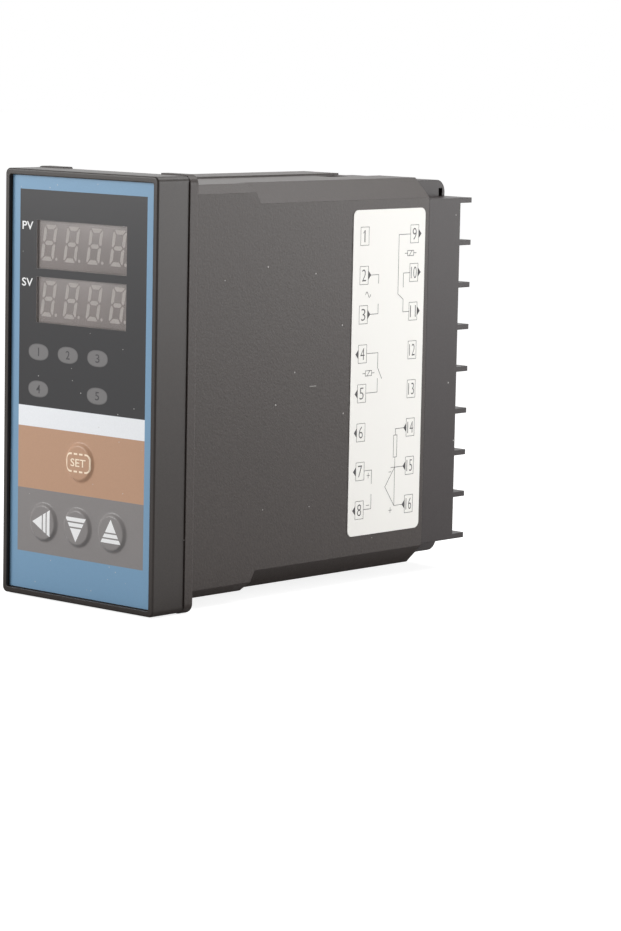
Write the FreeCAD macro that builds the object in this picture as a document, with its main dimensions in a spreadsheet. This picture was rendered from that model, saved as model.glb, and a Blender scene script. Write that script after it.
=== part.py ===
import FreeCAD, Part
import math
import os
import Sketcher

# Panel-mounted temperature controller with a 48 x 96 mm front.
# Every sub-part is drawn in one local frame: X across the front, Y from the rim's front plane to
# the rear, Z up from mid height. The placement of each sub-part then moves that frame so that the
# origin lies under the middle of the controller, on the surface that it stands on.

SIZES = (
    ("front_width", 48.0, "width of the front bezel"),
    ("front_height", 96.0, "height of the front bezel"),
    ("bezel_depth", 9.65, "bezel, rim to parting line"),
    ("bezel_corner", 1.3, "corner radius of the bezel outline"),
    ("bezel_edge", 0.4, "rounding of the rim's outer edge"),
    ("rim_width", 1.3, "wall of the bezel rim"),
    ("rim_inner_corner", 0.6, "corner radius inside the rim"),
    ("film_recess", 0.9, "film face behind the rim"),
    ("film_thickness", 0.4, "front film"),
    ("film_gap", 0.2, "gap between film and rim"),
    ("bezel_plate", 2.0, "plate of the bezel behind the film"),
    ("dome_radius", 4.6, "key dome in the film"),
    ("dome_height", 0.7, "rise of a key dome"),
    ("stem_hole_radius", 2.4, "hole in the bezel plate for a key stem"),
    ("display_shift", -0.2, "middle of the displays across the front"),
    ("upper_display_drop", 16.6, "upper display's centre below the front's top"),
    ("display_pitch", 12.3, "upper to lower display"),
    ("display_fit", 0.3, "room round the displays in the bezel plate"),
    ("led_window_width", 6.2, "indicator window in the bezel plate"),
    ("led_window_height", 3.5, "indicator window in the bezel plate"),
    ("led_pitch", 9.4, "indicator to indicator in a row"),
    ("led_shift", -4.3, "middle indicator across the front"),
    ("led_drop", 11.8, "upper indicator row below the lower display's centre"),
    ("led_row_pitch", 8.3, "upper to lower indicator row"),
    ("arrow_key_rise", 17.1, "arrow keys above the front's bottom"),
    ("arrow_key_pitch", 10.9, "arrow key to arrow key"),
    ("arrow_key_shift", -0.5, "middle arrow key across the front"),
    ("set_key_rise", 14.6, "set key above the arrow keys"),
    ("flange_thickness", 2.8, "flange of the case"),
    ("flange_lip", 0.3, "flange outline outside the bezel outline"),
    ("flange_corner", 2.2, "corner radius of the flange"),
    ("flange_edge", 0.5, "rounding of the flange's rear edge"),
    ("notch_width", 30.6, "notch in the flange's top and bottom"),
    ("notch_depth", 0.45, "notch in the flange's top and bottom"),
    ("step_side", 1.75, "case side inside the bezel outline"),
    ("step_top", 2.2, "case top inside the bezel outline"),
    ("case_length", 80.0, "case behind the flange"),
    ("case_wall", 1.6, "case walls"),
    ("rear_wall", 2.0, "case rear wall"),
    ("case_chamfer", 4.5, "long chamfer of the case"),
    ("shoulder_length", 19.25, "full section behind the flange, at the top"),
    ("shoulder_slope", 2.7, "run of the sloped end of the full section"),
    ("shoulder_chamfer", 2.0, "chamfer of the full section"),
    ("channel_width", 13.0, "bracket channel in the case's top and bottom"),
    ("channel_depth", 0.4, "bracket channel"),
    ("hook_width", 9.0, "bracket hook pocket in the channel"),
    ("hook_length", 7.0, "bracket hook pocket in the channel"),
    ("hook_depth", 0.5, "bracket hook pocket below the channel's floor"),
    ("hook_inset", 4.0, "bracket hook pocket from the case's rear"),
    ("rib_thickness", 1.2, "board guide rib"),
    ("rib_overlap", 1.5, "board edge held between two ribs"),
    ("rib_setback", 4.4, "front end of the ribs behind the flange's front"),
    ("rib_root", 0.4, "root of a rib inside the case wall"),
    ("label_thickness", 0.15, "wiring label"),
    ("label_length", 25.4, "wiring label along the case"),
    ("label_height", 75.8, "wiring label"),
    ("label_rise", 1.1, "wiring label's middle above the case's middle"),
    ("label_inset", 1.45, "wiring label from the case's rear"),
    ("label_corner", 1.5, "wiring label corner radius"),
    ("block_depth", 11.5, "terminal block behind the case"),
    ("block_wall", 1.2, "side wall of a terminal column"),
    ("column_width", 7.55, "room of a terminal column"),
    ("column_floor", 7.45, "terminal seats behind the case's rear"),
    ("fin_reach", 4.45, "barrier fins behind the side walls"),
    ("fin_thickness", 1.2, "barrier fin"),
    ("fin_corner", 0.5, "rounded rear corners of a fin"),
    ("block_drop", 4.88, "ends of the terminal block below the case's top"),
    ("spine_drop", 1.0, "top of the spine below the case's top"),
    ("spine_corner", 3.0, "rounded rear corners of the spine"),
    ("spine_wall", 1.5, "walls and ribs of the cored spine"),
    ("groove_width", 1.3, "cover groove in the spine's sides"),
    ("groove_depth", 1.1, "cover groove in the spine's sides"),
    ("groove_inset", 0.9, "cover groove from the spine's rear face"),
    ("groove_end", 2.0, "cover groove from the spine's top"),
    ("board_thickness", 1.6, "circuit boards"),
    ("board_inset", 7.45, "long boards' outer face from the case's side"),
    ("board_end_gap", 0.6, "long boards' shoulder before the rear wall"),
    ("board_edge_gap", 3.2, "long boards' edges from the cavity's top"),
    ("board_guide_gap", 0.3, "clearance of the boards in ribs and slots"),
    ("tongue_step", 3.0, "board tongue below the board's edge"),
    ("tongue_reach", 6.05, "board tongue behind the case's rear"),
    ("tongue_room", 0.5, "depth left behind a board tongue"),
    ("display_board_side", 1.05, "display board's edge from the cavity's side"),
    ("display_board_top", 3.0, "display board's edge from the cavity's top"),
    ("module_width", 30.0, "display module"),
    ("module_height", 11.8, "display module"),
    ("module_depth", 7.7, "display module"),
    ("module_setback", 0.8, "display module behind the film"),
    ("boss_radius", 1.8, "screw boss on the bezel"),
    ("boss_inset", 1.9, "screw bosses from the display board's edge"),
    ("pilot_radius", 0.8, "pilot hole in a boss"),
    ("pilot_depth", 5.0, "pilot hole in a boss"),
    ("board_screw_radius", 0.75, "shank of a display board screw"),
    ("board_screw_length", 4.5, "shank of a display board screw in its boss"),
    ("board_screw_head_radius", 1.7, "head of a display board screw"),
    ("board_screw_head", 1.2, "head height of a display board screw"),
    ("board_screw_gap", 0.5, "head of a display board screw from a long board"),
    ("tongue_width", 12.0, "latch tongue of the bezel"),
    ("tongue_thickness", 1.0, "latch tongue of the bezel"),
    ("tongue_gap", 0.7, "latch tongue below the cavity's top"),
    ("latch_length", 14.5, "latch tongue behind the parting line"),
    ("catch_length", 3.0, "catch on the latch tongue"),
    ("catch_height", 0.5, "catch on the latch tongue"),
    ("led_radius", 1.5, "indicator LED"),
    ("led_rim", 0.4, "rim of an indicator LED"),
    ("led_rim_height", 0.8, "rim of an indicator LED"),
    ("led_length", 5.0, "indicator LED, tip to rim's back"),
    ("led_setback", 1.3, "tip of the LED behind the film"),
    ("switch_size", 6.0, "tact switch body"),
    ("switch_depth", 3.5, "tact switch body"),
    ("stem_radius", 1.7, "key stem"),
    ("stem_fit", 0.08, "clearance of a key stem in its switch"),
    ("stem_tip_gap", 0.15, "key stem behind its dome"),
    ("stem_tip_bevel", 0.5, "bevel at the tip of a key stem"),
    ("stem_end_gap", 0.4, "key stem before the display board"),
    ("screw_inset", 4.6, "terminal screws from the case's side"),
    ("screw_radius", 1.5, "terminal screw shank"),
    ("screw_length", 4.2, "terminal screw shank below the terminal"),
    ("screw_hole_room", 0.15, "room round the shank in the block"),
    ("screw_hole_depth", 4.8, "hole in the block for the shank"),
    ("screw_head_radius", 2.75, "terminal screw head"),
    ("screw_head", 1.8, "terminal screw head height"),
    ("recess_width", 0.75, "cross recess of a terminal screw"),
    ("recess_length", 3.4, "cross recess of a terminal screw"),
    ("recess_depth", 1.0, "cross recess of a terminal screw"),
    ("washer_size", 6.2, "square clamp washer"),
    ("washer_thickness", 0.8, "square clamp washer"),
    ("thread_fit", 0.03, "clearance of the shank in washer and terminal"),
    ("contact_thickness", 0.6, "terminal contact sheet"),
    ("contact_width", 7.0, "terminal contact under the screw"),
    ("contact_end", 0.55, "terminal contact from the column's side wall"),
    ("leg_width", 3.2, "terminal contact leg"),
    ("leg_start", 1.0, "terminal contact leg's end behind the case's rear"),
    ("leg_gap", 0.2, "terminal contact leg from the board tongue"),
    ("leg_room", 0.3, "room round a terminal contact leg"),
    ("header_size", 2.5, "board connector section"),
    ("header_length", 30.0, "board connector"),
    ("spacer_depth", 4.0, "board spacer along the boards"),
    ("spacer_height", 6.0, "board spacer"),
    ("spacer_inset", 1.5, "board spacer from the boards' shoulder"),
    ("peg_radius", 1.2, "peg of the board spacer"),
    ("peg_fit", 0.1, "clearance of a peg in its board"),
    ("core_width", 26.0, "transformer core along the boards"),
    ("core_height", 30.0, "transformer core"),
    ("core_stack", 10.0, "transformer core stack"),
    ("core_limb", 8.0, "middle limb of the core"),
    ("core_window_width", 5.0, "window of the core"),
    ("core_window_height", 20.0, "window of the core"),
    ("coil_build", 4.4, "winding round the middle limb"),
    ("coil_fit", 0.1, "gap between winding and core"),
    ("transformer_inset", 21.0, "transformer's middle from the boards' shoulder"),
    ("relay_length", 19.0, "relay along the board"),
    ("relay_width", 15.5, "relay across the board"),
    ("relay_height", 15.3, "relay above the board"),
    ("relay_inset", 8.0, "relays from the boards' shoulder"),
    ("relay_pitch", 22.0, "rear to front relay"),
    ("relay_edge", 3.0, "relays from the board's edge"),
    ("big_capacitor_radius", 5.0, "large electrolytic capacitor"),
    ("big_capacitor_height", 14.0, "large electrolytic capacitor"),
    ("small_capacitor_radius", 3.2, "small electrolytic capacitor"),
    ("small_capacitor_height", 11.0, "small electrolytic capacitor"),
    ("capacitor_setback", 12.0, "electrolytic capacitors behind the display board"),
    ("capacitor_pitch", 13.0, "electrolytic capacitor to its neighbour"),
    ("filter_length", 17.5, "mains filter capacitor across the board"),
    ("filter_depth", 6.0, "mains filter capacitor along the board"),
    ("filter_height", 12.0, "mains filter capacitor above the board"),
    ("filter_setback", 20.0, "mains filter capacitor behind the display board"),
    ("filter_edge", 2.5, "mains filter capacitor from the board's edge"),
    ("regulator_width", 10.2, "voltage regulator"),
    ("regulator_depth", 3.2, "voltage regulator body"),
    ("regulator_tab", 1.3, "voltage regulator tab"),
    ("regulator_body", 9.2, "voltage regulator body above the board"),
    ("regulator_height", 15.4, "voltage regulator with its tab"),
    ("regulator_setback", 8.0, "voltage regulator behind the display board"),
    ("regulator_edge", 5.0, "voltage regulator from the board's edge"),
    ("processor_size", 14.0, "microcontroller"),
    ("processor_height", 2.4, "microcontroller"),
    ("processor_setback", 20.0, "microcontroller behind the display board"),
    ("amplifier_length", 10.0, "amplifier chip"),
    ("amplifier_width", 6.2, "amplifier chip"),
    ("amplifier_height", 1.8, "amplifier chip"),
    ("amplifier_inset", 24.0, "amplifier chips from the boards' shoulder"),
    ("amplifier_rise", 21.0, "amplifier chips from mid height"),
    ("memory_length", 9.6, "memory chip"),
    ("memory_width", 6.4, "memory chip"),
    ("memory_height", 3.4, "memory chip"),
    ("memory_setback", 9.0, "memory chip behind the display board"),
    ("memory_drop", 24.0, "memory chip below mid height"),
    ("crystal_length", 11.4, "crystal"),
    ("crystal_width", 4.6, "crystal"),
    ("crystal_height", 3.6, "crystal"),
    ("crystal_rise", 12.0, "crystal above mid height"),
    ("driver_length", 19.3, "display driver chip"),
    ("driver_width", 6.4, "display driver chip"),
    ("driver_height", 3.4, "display driver chip"),
    ("driver_drop", 6.0, "display driver chip below mid height"),
)

doc = FreeCAD.newDocument("temperature_controller")
sheet = doc.addObject("Spreadsheet::Sheet", "Size")
for row, (alias, size, meaning) in enumerate(SIZES, start=1):
    sheet.set(f"A{row}", meaning)
    sheet.set(f"B{row}", str(size))
    sheet.setAlias(f"B{row}", alias)
doc.recompute()

# Planes and outlines that several sub-parts share, as expressions on the sheet.
film_rear = "(Size.film_recess + Size.film_thickness)"
plate_rear = f"({film_rear} + Size.bezel_plate)"
module_front = f"({film_rear} + Size.module_setback)"
display_front = f"({module_front} + Size.module_depth)"
display_rear = f"({display_front} + Size.board_thickness)"
flange_rear = "(Size.bezel_depth + Size.flange_thickness)"
case_rear = f"({flange_rear} + Size.case_length)"
case_inner_rear = f"({case_rear} - Size.rear_wall)"
board_shoulder = f"({case_inner_rear} - Size.board_end_gap)"
tongue_rear = f"({case_rear} + Size.tongue_reach)"
seat_rear = f"({case_rear} + Size.column_floor)"
block_rear = f"({case_rear} + Size.block_depth)"
fin_rear = f"({block_rear} + Size.fin_reach)"

rim_half_width = "(Size.front_width / 2 - Size.rim_width)"
rim_half_height = "(Size.front_height / 2 - Size.rim_width)"
case_half_width = "(Size.front_width / 2 - Size.step_side)"
case_half_height = "(Size.front_height / 2 - Size.step_top)"
cavity_half_width = f"({case_half_width} - Size.case_wall)"
cavity_half_height = f"({case_half_height} - Size.case_wall)"
# A wall of even thickness round a corner cut at 45 degrees has an inner cut shorter by this share.
corner_share = 2 - math.sqrt(2)
cavity_chamfer = f"(Size.case_chamfer - {corner_share} * Size.case_wall)"

spine_half_width = f"({case_half_width} - Size.block_wall - Size.column_width)"
spine_half_height = f"({case_half_height} - Size.spine_drop)"
column_outer = f"({case_half_width} - Size.block_wall)"
board_outer = f"({case_half_width} - Size.board_inset)"
board_inner = f"({board_outer} - Size.board_thickness)"
board_half_height = f"({cavity_half_height} - Size.board_edge_gap)"
tongue_half_height = f"({board_half_height} - Size.tongue_step)"
spacer_middle = f"({board_shoulder} - Size.spacer_inset - Size.spacer_depth / 2)"
leg_inner = f"({board_outer} + Size.leg_gap)"
leg_outer = f"({leg_inner} + Size.contact_thickness)"
screw_x = f"({case_half_width} - Size.screw_inset)"
display_half_width = f"({cavity_half_width} - Size.display_board_side)"
display_half_height = f"({cavity_half_height} - Size.display_board_top)"
boss_x = f"({board_inner} - Size.board_screw_gap - Size.board_screw_head_radius)"
boss_z = f"({display_half_height} - Size.boss_inset)"

upper_display_z = "(Size.front_height / 2 - Size.upper_display_drop)"
lower_display_z = f"({upper_display_z} - Size.display_pitch)"
upper_led_z = f"({lower_display_z} - Size.led_drop)"
lower_led_z = f"({upper_led_z} - Size.led_row_pitch)"
arrow_key_z = "(Size.arrow_key_rise - Size.front_height / 2)"
set_key_z = f"({arrow_key_z} + Size.set_key_rise)"
left_x = "(Size.led_shift - Size.led_pitch)"
right_x = "(Size.led_shift + Size.led_pitch)"

SIDES = (-1, 1)
LED_PLACES = (
    (left_x, upper_led_z),
    ("Size.led_shift", upper_led_z),
    (right_x, upper_led_z),
    (left_x, lower_led_z),
    (right_x, lower_led_z),
)
KEY_PLACES = {
    "set_key": ("0", set_key_z),
    "shift_key": ("(Size.arrow_key_shift - Size.arrow_key_pitch)", arrow_key_z),
    "down_key": ("Size.arrow_key_shift", arrow_key_z),
    "up_key": ("(Size.arrow_key_shift + Size.arrow_key_pitch)", arrow_key_z),
}
TERMINAL_ROWS = 8
block_half_height = f"({case_half_height} - Size.block_drop)"
terminal_pitch = f"((2 * {block_half_height} - Size.fin_thickness) / {TERMINAL_ROWS})"
TERMINALS = [
    (side, f"(({row} - {(TERMINAL_ROWS - 1) / 2}) * {terminal_pitch})")
    for side in SIDES
    for row in range(TERMINAL_ROWS)
]
FINS = [
    (side, f"(({row} - {TERMINAL_ROWS / 2}) * {terminal_pitch})")
    for side in SIDES
    for row in range(TERMINAL_ROWS + 1)
]

# Points of a sketch's outline, as its constraints number them.
ORIGIN = -1
START, END, CENTRE = range(1, 4)
FULL_TURN = 360
RIGHT_ANGLE = 90
QUARTER = math.pi / 2
SMALL = 1e-3

subparts = []


def value(expression):
    """Number that an expression on the sheet gives now."""
    return float(sheet.evalExpression(expression))


def keep(item, label):
    """Name a sub-part and move it from the drawing frame to the controller's own frame."""
    item.Label = label
    item.setExpression("Placement.Base.y", f"-{fin_rear} / 2")
    item.setExpression("Placement.Base.z", "Size.front_height / 2 + Size.flange_lip")
    subparts.append(item)
    return item


# ---- sketches ----

def new_body(label):
    body = doc.addObject("PartDesign::Body", label)
    return keep(body, label)


def new_sketch(body, name, role, offset="0"):
    """Sketch on one of the body's own planes, moved along that plane's normal."""
    sketch = body.newObject("Sketcher::SketchObject", name)
    plane = next(item for item in body.Origin.OriginFeatures if item.Role == role)
    sketch.AttachmentSupport = [(plane, "")]
    sketch.MapMode = "FlatFace"
    sketch.setExpression("AttachmentOffset.Base.z", offset)
    return sketch


def front_sketch(body, name, depth="0"):
    """Sketch seen from the front (X, Z) at a depth behind the rim."""
    return new_sketch(body, name, "XZ_Plane", f"-({depth})")


def side_sketch(body, name, shift="0"):
    """Sketch seen from the side (Y, Z) at a place across the front."""
    return new_sketch(body, name, "YZ_Plane", shift)


def bind(sketch, kind, *place, expression):
    """Dimension that follows the sheet."""
    index = sketch.addConstraint(Sketcher.Constraint(kind, *place, value(expression)))
    sketch.setExpression(f"Constraints[{index}]", expression)


def fix_point(sketch, geometry, point, across, up):
    bind(sketch, "DistanceX", ORIGIN, START, geometry, point, expression=across)
    bind(sketch, "DistanceY", ORIGIN, START, geometry, point, expression=up)


def add_polygon(sketch, corners):
    """Closed outline of straight edges through corners given as pairs of expressions."""
    places = [FreeCAD.Vector(value(across), value(up), 0) for across, up in corners]
    first = sketch.GeometryCount
    count = len(corners)
    for index in range(count):
        sketch.addGeometry(Part.LineSegment(places[index], places[(index + 1) % count]))
    for index in range(count):
        following = first + (index + 1) % count
        sketch.addConstraint(Sketcher.Constraint("Coincident", first + index, END, following, START))
    for index, (across, up) in enumerate(corners):
        fix_point(sketch, first + index, START, across, up)


def add_rectangle(sketch, left, right, bottom, top):
    add_polygon(sketch, [(left, bottom), (right, bottom), (right, top), (left, top)])


def add_circle(sketch, across, up, radius):
    centre = FreeCAD.Vector(value(across), value(up), 0)
    index = sketch.addGeometry(Part.Circle(centre, FreeCAD.Vector(0, 0, 1), value(radius)))
    fix_point(sketch, index, CENTRE, across, up)
    bind(sketch, "Radius", index, expression=radius)


def arc_at(across, up, radius, start, end):
    circle = Part.Circle(FreeCAD.Vector(across, up, 0), FreeCAD.Vector(0, 0, 1), radius)
    return Part.ArcOfCircle(circle, start, end)


def add_loop(sketch, pieces):
    """Closed outline of lines and arcs that run smoothly into one another."""
    first = sketch.GeometryCount
    for piece in pieces:
        sketch.addGeometry(piece)
    count = len(pieces)
    for index in range(count):
        following = first + (index + 1) % count
        sketch.addConstraint(Sketcher.Constraint("Tangent", first + index, END, following, START))
    return first


def add_rounded_rectangle(sketch, half_width, half_height, radius, across="0", up="0"):
    wide = value(half_width)
    high = value(half_height)
    bend = value(radius)
    x = value(across)
    y = value(up)
    near = FreeCAD.Vector
    first = add_loop(sketch, [
        Part.LineSegment(near(x - wide + bend, y - high, 0), near(x + wide - bend, y - high, 0)),
        arc_at(x + wide - bend, y - high + bend, bend, -QUARTER, 0),
        Part.LineSegment(near(x + wide, y - high + bend, 0), near(x + wide, y + high - bend, 0)),
        arc_at(x + wide - bend, y + high - bend, bend, 0, QUARTER),
        Part.LineSegment(near(x + wide - bend, y + high, 0), near(x - wide + bend, y + high, 0)),
        arc_at(x - wide + bend, y + high - bend, bend, QUARTER, 2 * QUARTER),
        Part.LineSegment(near(x - wide, y + high - bend, 0), near(x - wide, y - high + bend, 0)),
        arc_at(x - wide + bend, y - high + bend, bend, 2 * QUARTER, 3 * QUARTER),
    ])
    bottom, right, top, left = first, first + 2, first + 4, first + 6
    sketch.addConstraint(Sketcher.Constraint("Horizontal", bottom))
    sketch.addConstraint(Sketcher.Constraint("Horizontal", top))
    sketch.addConstraint(Sketcher.Constraint("Vertical", left))
    sketch.addConstraint(Sketcher.Constraint("Vertical", right))
    bind(sketch, "DistanceX", ORIGIN, START, right, START, expression=f"{across} + {half_width}")
    bind(sketch, "DistanceX", ORIGIN, START, left, START, expression=f"{across} - {half_width}")
    bind(sketch, "DistanceY", ORIGIN, START, top, START, expression=f"{up} + {half_height}")
    bind(sketch, "DistanceY", ORIGIN, START, bottom, START, expression=f"{up} - {half_height}")
    for corner in range(first + 1, first + 8, 2):
        bind(sketch, "Radius", corner, expression=radius)


def add_slot(sketch, width, height, across, up):
    """Level slot with round ends."""
    bend = value(height) / 2
    run = value(width) / 2 - bend
    x = value(across)
    y = value(up)
    first = add_loop(sketch, [
        Part.LineSegment(FreeCAD.Vector(x - run, y - bend, 0), FreeCAD.Vector(x + run, y - bend, 0)),
        arc_at(x + run, y, bend, -QUARTER, QUARTER),
        Part.LineSegment(FreeCAD.Vector(x + run, y + bend, 0), FreeCAD.Vector(x - run, y + bend, 0)),
        arc_at(x - run, y, bend, QUARTER, 3 * QUARTER),
    ])
    right, left = first + 1, first + 3
    half_run = f"({width} - {height}) / 2"
    sketch.addConstraint(Sketcher.Constraint("Horizontal", first))
    fix_point(sketch, right, CENTRE, f"{across} + {half_run}", up)
    fix_point(sketch, left, CENTRE, f"{across} - {half_run}", up)
    bind(sketch, "Radius", right, expression=f"{height} / 2")


# ---- features ----

def pad(body, name, sketch, length, reverse=False, symmetric=False):
    feature = body.newObject("PartDesign::Pad", name)
    feature.Profile = sketch
    feature.setExpression("Length", length)
    feature.Reversed = reverse
    if symmetric:
        feature.SideType = "Symmetric"
    doc.recompute()
    return feature


def pad_back(body, name, sketch, length):
    """Material from a front sketch towards the rear."""
    return pad(body, name, sketch, length, reverse=True)


def pocket(body, name, sketch, length, reverse=False, symmetric=False):
    """Cut that has to take material away."""
    before = body.Shape.Volume
    feature = body.newObject("PartDesign::Pocket", name)
    feature.Profile = sketch
    feature.setExpression("Length", length)
    feature.Reversed = reverse
    if symmetric:
        feature.SideType = "Symmetric"
    doc.recompute()
    if feature.Shape.Volume > before - SMALL:
        raise RuntimeError(f"{body.Label}: {name} cuts nothing")
    return feature


def edge_names(shape, test):
    return [f"Edge{index}" for index, edge in enumerate(shape.Edges, start=1) if test(edge)]


def dress(body, kind, name, test, size_name, size):
    """Fillet or chamfer on the edges that pass a test."""
    base = body.Tip
    names = edge_names(base.Shape, test)
    if not names:
        raise RuntimeError(f"{body.Label}: {name} finds no edge")
    feature = body.newObject(f"PartDesign::{kind}", name)
    feature.Base = (base, names)
    feature.setExpression(size_name, size)
    doc.recompute()
    return feature


def lies_at_depth(edge, depth):
    box = edge.BoundBox
    return abs(box.YMin - depth) < SMALL and abs(box.YMax - depth) < SMALL


def reaches(edge, half_width, half_height):
    """True for an edge on the outer outline of a rounded rectangle."""
    box = edge.BoundBox
    across = max(abs(box.XMin), abs(box.XMax))
    up = max(abs(box.ZMin), abs(box.ZMax))
    return across > half_width - SMALL or up > half_height - SMALL


# ---- plain solids ----

def make_box(name, low, size):
    """Box from its low corner and its three sizes, all as expressions."""
    box = doc.addObject("Part::Box", name)
    for axis, expression in zip("xyz", low):
        box.setExpression(f"Placement.Base.{axis}", expression)
    for side, expression in zip(("Length", "Width", "Height"), size):
        box.setExpression(side, expression)
    return box


def turn_to_rear(item):
    """Lay a solid of revolution along the Y axis."""
    turn = FreeCAD.Rotation(FreeCAD.Vector(1, 0, 0), -RIGHT_ANGLE)
    item.Placement = FreeCAD.Placement(FreeCAD.Vector(), turn)


def turn_to_side(item):
    """Lay a solid of revolution along the X axis."""
    turn = FreeCAD.Rotation(FreeCAD.Vector(0, 1, 0), RIGHT_ANGLE)
    item.Placement = FreeCAD.Placement(FreeCAD.Vector(), turn)


def place(item, low):
    for axis, expression in zip("xyz", low):
        item.setExpression(f"Placement.Base.{axis}", expression)
    return item


def make_rod(name, low, radius, height, turn=turn_to_rear):
    """Cylinder along Y, or along X, from the middle of its low end."""
    rod = doc.addObject("Part::Cylinder", name)
    turn(rod)
    rod.setExpression("Radius", radius)
    rod.setExpression("Height", height)
    return place(rod, low)


def make_cone(name, low, low_radius, high_radius, height):
    """Cone along Y from the middle of its front end."""
    cone = doc.addObject("Part::Cone", name)
    turn_to_rear(cone)
    cone.setExpression("Radius1", low_radius)
    cone.setExpression("Radius2", high_radius)
    cone.setExpression("Height", height)
    return place(cone, low)


def fuse(name, items):
    joined = doc.addObject("Part::MultiFuse", name)
    joined.Shapes = items
    return joined


def cut(name, base, tool):
    remainder = doc.addObject("Part::Cut", name)
    remainder.Base = base
    remainder.Tool = tool
    return remainder


def group(name, items):
    """Separate solids of one kind, kept under one name."""
    bunch = doc.addObject("Part::Compound", name)
    bunch.Links = items
    return keep(bunch, name)


def one(name, item):
    return group(name, [item])


# ---- front ----

def build_bezel():
    """Moulded frame: raised rim, plate with openings, four bosses and two latch tongues."""
    body = new_body("front_bezel")
    outline = front_sketch(body, "bezel_outline")
    add_rounded_rectangle(outline, "Size.front_width / 2", "Size.front_height / 2", "Size.bezel_corner")
    pad_back(body, "bezel_frame", outline, "Size.bezel_depth")

    well = front_sketch(body, "film_well_outline")
    add_rounded_rectangle(well, rim_half_width, rim_half_height, "Size.rim_inner_corner")
    pocket(body, "film_well", well, film_rear)

    hollow = front_sketch(body, "rear_hollow_outline", plate_rear)
    add_rounded_rectangle(hollow, rim_half_width, rim_half_height, "Size.rim_inner_corner")
    pocket(body, "rear_hollow", hollow, f"Size.bezel_depth - {plate_rear}")

    openings = front_sketch(body, "plate_openings_outline", film_rear)
    add_rectangle(
        openings,
        "Size.display_shift - Size.module_width / 2 - Size.display_fit",
        "Size.display_shift + Size.module_width / 2 + Size.display_fit",
        f"{lower_display_z} - Size.module_height / 2 - Size.display_fit",
        f"{upper_display_z} + Size.module_height / 2 + Size.display_fit",
    )
    for led_x, led_z in LED_PLACES:
        add_slot(openings, "Size.led_window_width", "Size.led_window_height", led_x, led_z)
    for key_x, key_z in KEY_PLACES.values():
        add_circle(openings, key_x, key_z, "Size.stem_hole_radius")
    pocket(body, "plate_openings", openings, "Size.bezel_plate")

    bosses = front_sketch(body, "boss_outlines", film_rear)
    pilots = front_sketch(body, "pilot_outlines", f"{display_front} - Size.pilot_depth")
    for side in SIDES:
        for level in SIDES:
            add_circle(bosses, f"{side} * {boss_x}", f"{level} * {boss_z}", "Size.boss_radius")
            add_circle(pilots, f"{side} * {boss_x}", f"{level} * {boss_z}", "Size.pilot_radius")
    pad_back(body, "bosses", bosses, f"{display_front} - {film_rear}")
    pocket(body, "pilot_holes", pilots, "Size.pilot_depth")

    tongue_top = f"({cavity_half_height} - Size.tongue_gap)"
    latch_rear = "(Size.bezel_depth + Size.latch_length)"
    catch_front = f"({latch_rear} - Size.catch_length)"
    tongues = side_sketch(body, "latch_tongue_profiles")
    for level in SIDES:
        add_polygon(tongues, [
            (film_rear, f"{level} * ({tongue_top} - Size.tongue_thickness)"),
            (latch_rear, f"{level} * ({tongue_top} - Size.tongue_thickness)"),
            (latch_rear, f"{level} * {tongue_top}"),
            (catch_front, f"{level} * ({tongue_top} + Size.catch_height)"),
            (catch_front, f"{level} * {tongue_top}"),
            (film_rear, f"{level} * {tongue_top}"),
        ])
    pad(body, "latch_tongues", tongues, "Size.tongue_width", symmetric=True)

    half_width = value("Size.front_width / 2")
    half_height = value("Size.front_height / 2")
    dress(
        body, "Fillet", "rim_rounding",
        lambda edge: lies_at_depth(edge, 0) and reaches(edge, half_width, half_height - SMALL),
        "Radius", "Size.bezel_edge",
    )


def add_dome(body, name, key_x, key_z):
    """Shallow dome of the film's own thickness, turned about its key's axis."""
    front = "Size.film_recess"
    top = "(Size.film_recess - Size.dome_height)"
    edge_z = f"({key_z} + Size.dome_radius)"
    sketch = side_sketch(body, f"{name}_dome_profile", key_x)
    rise = value("Size.dome_height")
    reach = value("Size.dome_radius")
    radius = (reach ** 2 + rise ** 2) / (2 * rise)
    spread = math.asin(reach / radius)
    up = value(key_z)
    outer = sketch.addGeometry(arc_at(value(top) + radius, up, radius, math.pi - spread, math.pi))
    inner_top = f"({top} + Size.film_thickness)"
    inner = sketch.addGeometry(arc_at(value(inner_top) + radius, up, radius, math.pi - spread, math.pi))
    high = FreeCAD.Vector(value(top), up, 0)
    low = FreeCAD.Vector(value(inner_top), up, 0)
    rim_front = FreeCAD.Vector(value(front), value(edge_z), 0)
    rim_back = FreeCAD.Vector(value(film_rear), value(edge_z), 0)
    middle = sketch.addGeometry(Part.LineSegment(high, low))
    rim = sketch.addGeometry(Part.LineSegment(rim_back, rim_front))
    sketch.addConstraint(Sketcher.Constraint("Coincident", outer, END, middle, START))
    sketch.addConstraint(Sketcher.Constraint("Coincident", middle, END, inner, END))
    sketch.addConstraint(Sketcher.Constraint("Coincident", inner, START, rim, START))
    sketch.addConstraint(Sketcher.Constraint("Coincident", rim, END, outer, START))
    fix_point(sketch, middle, START, top, key_z)
    fix_point(sketch, middle, END, inner_top, key_z)
    fix_point(sketch, rim, START, film_rear, edge_z)
    fix_point(sketch, rim, END, front, edge_z)
    for arc in (outer, inner):
        bind(sketch, "DistanceY", ORIGIN, START, arc, CENTRE, expression=key_z)
    axis = sketch.addGeometry(Part.LineSegment(high, low), True)
    fix_point(sketch, axis, START, top, key_z)
    fix_point(sketch, axis, END, inner_top, key_z)
    dome = body.newObject("PartDesign::Revolution", f"{name}_dome")
    dome.Profile = sketch
    dome.ReferenceAxis = (sketch, ["Axis0"])
    dome.Angle = FULL_TURN
    doc.recompute()


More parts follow.
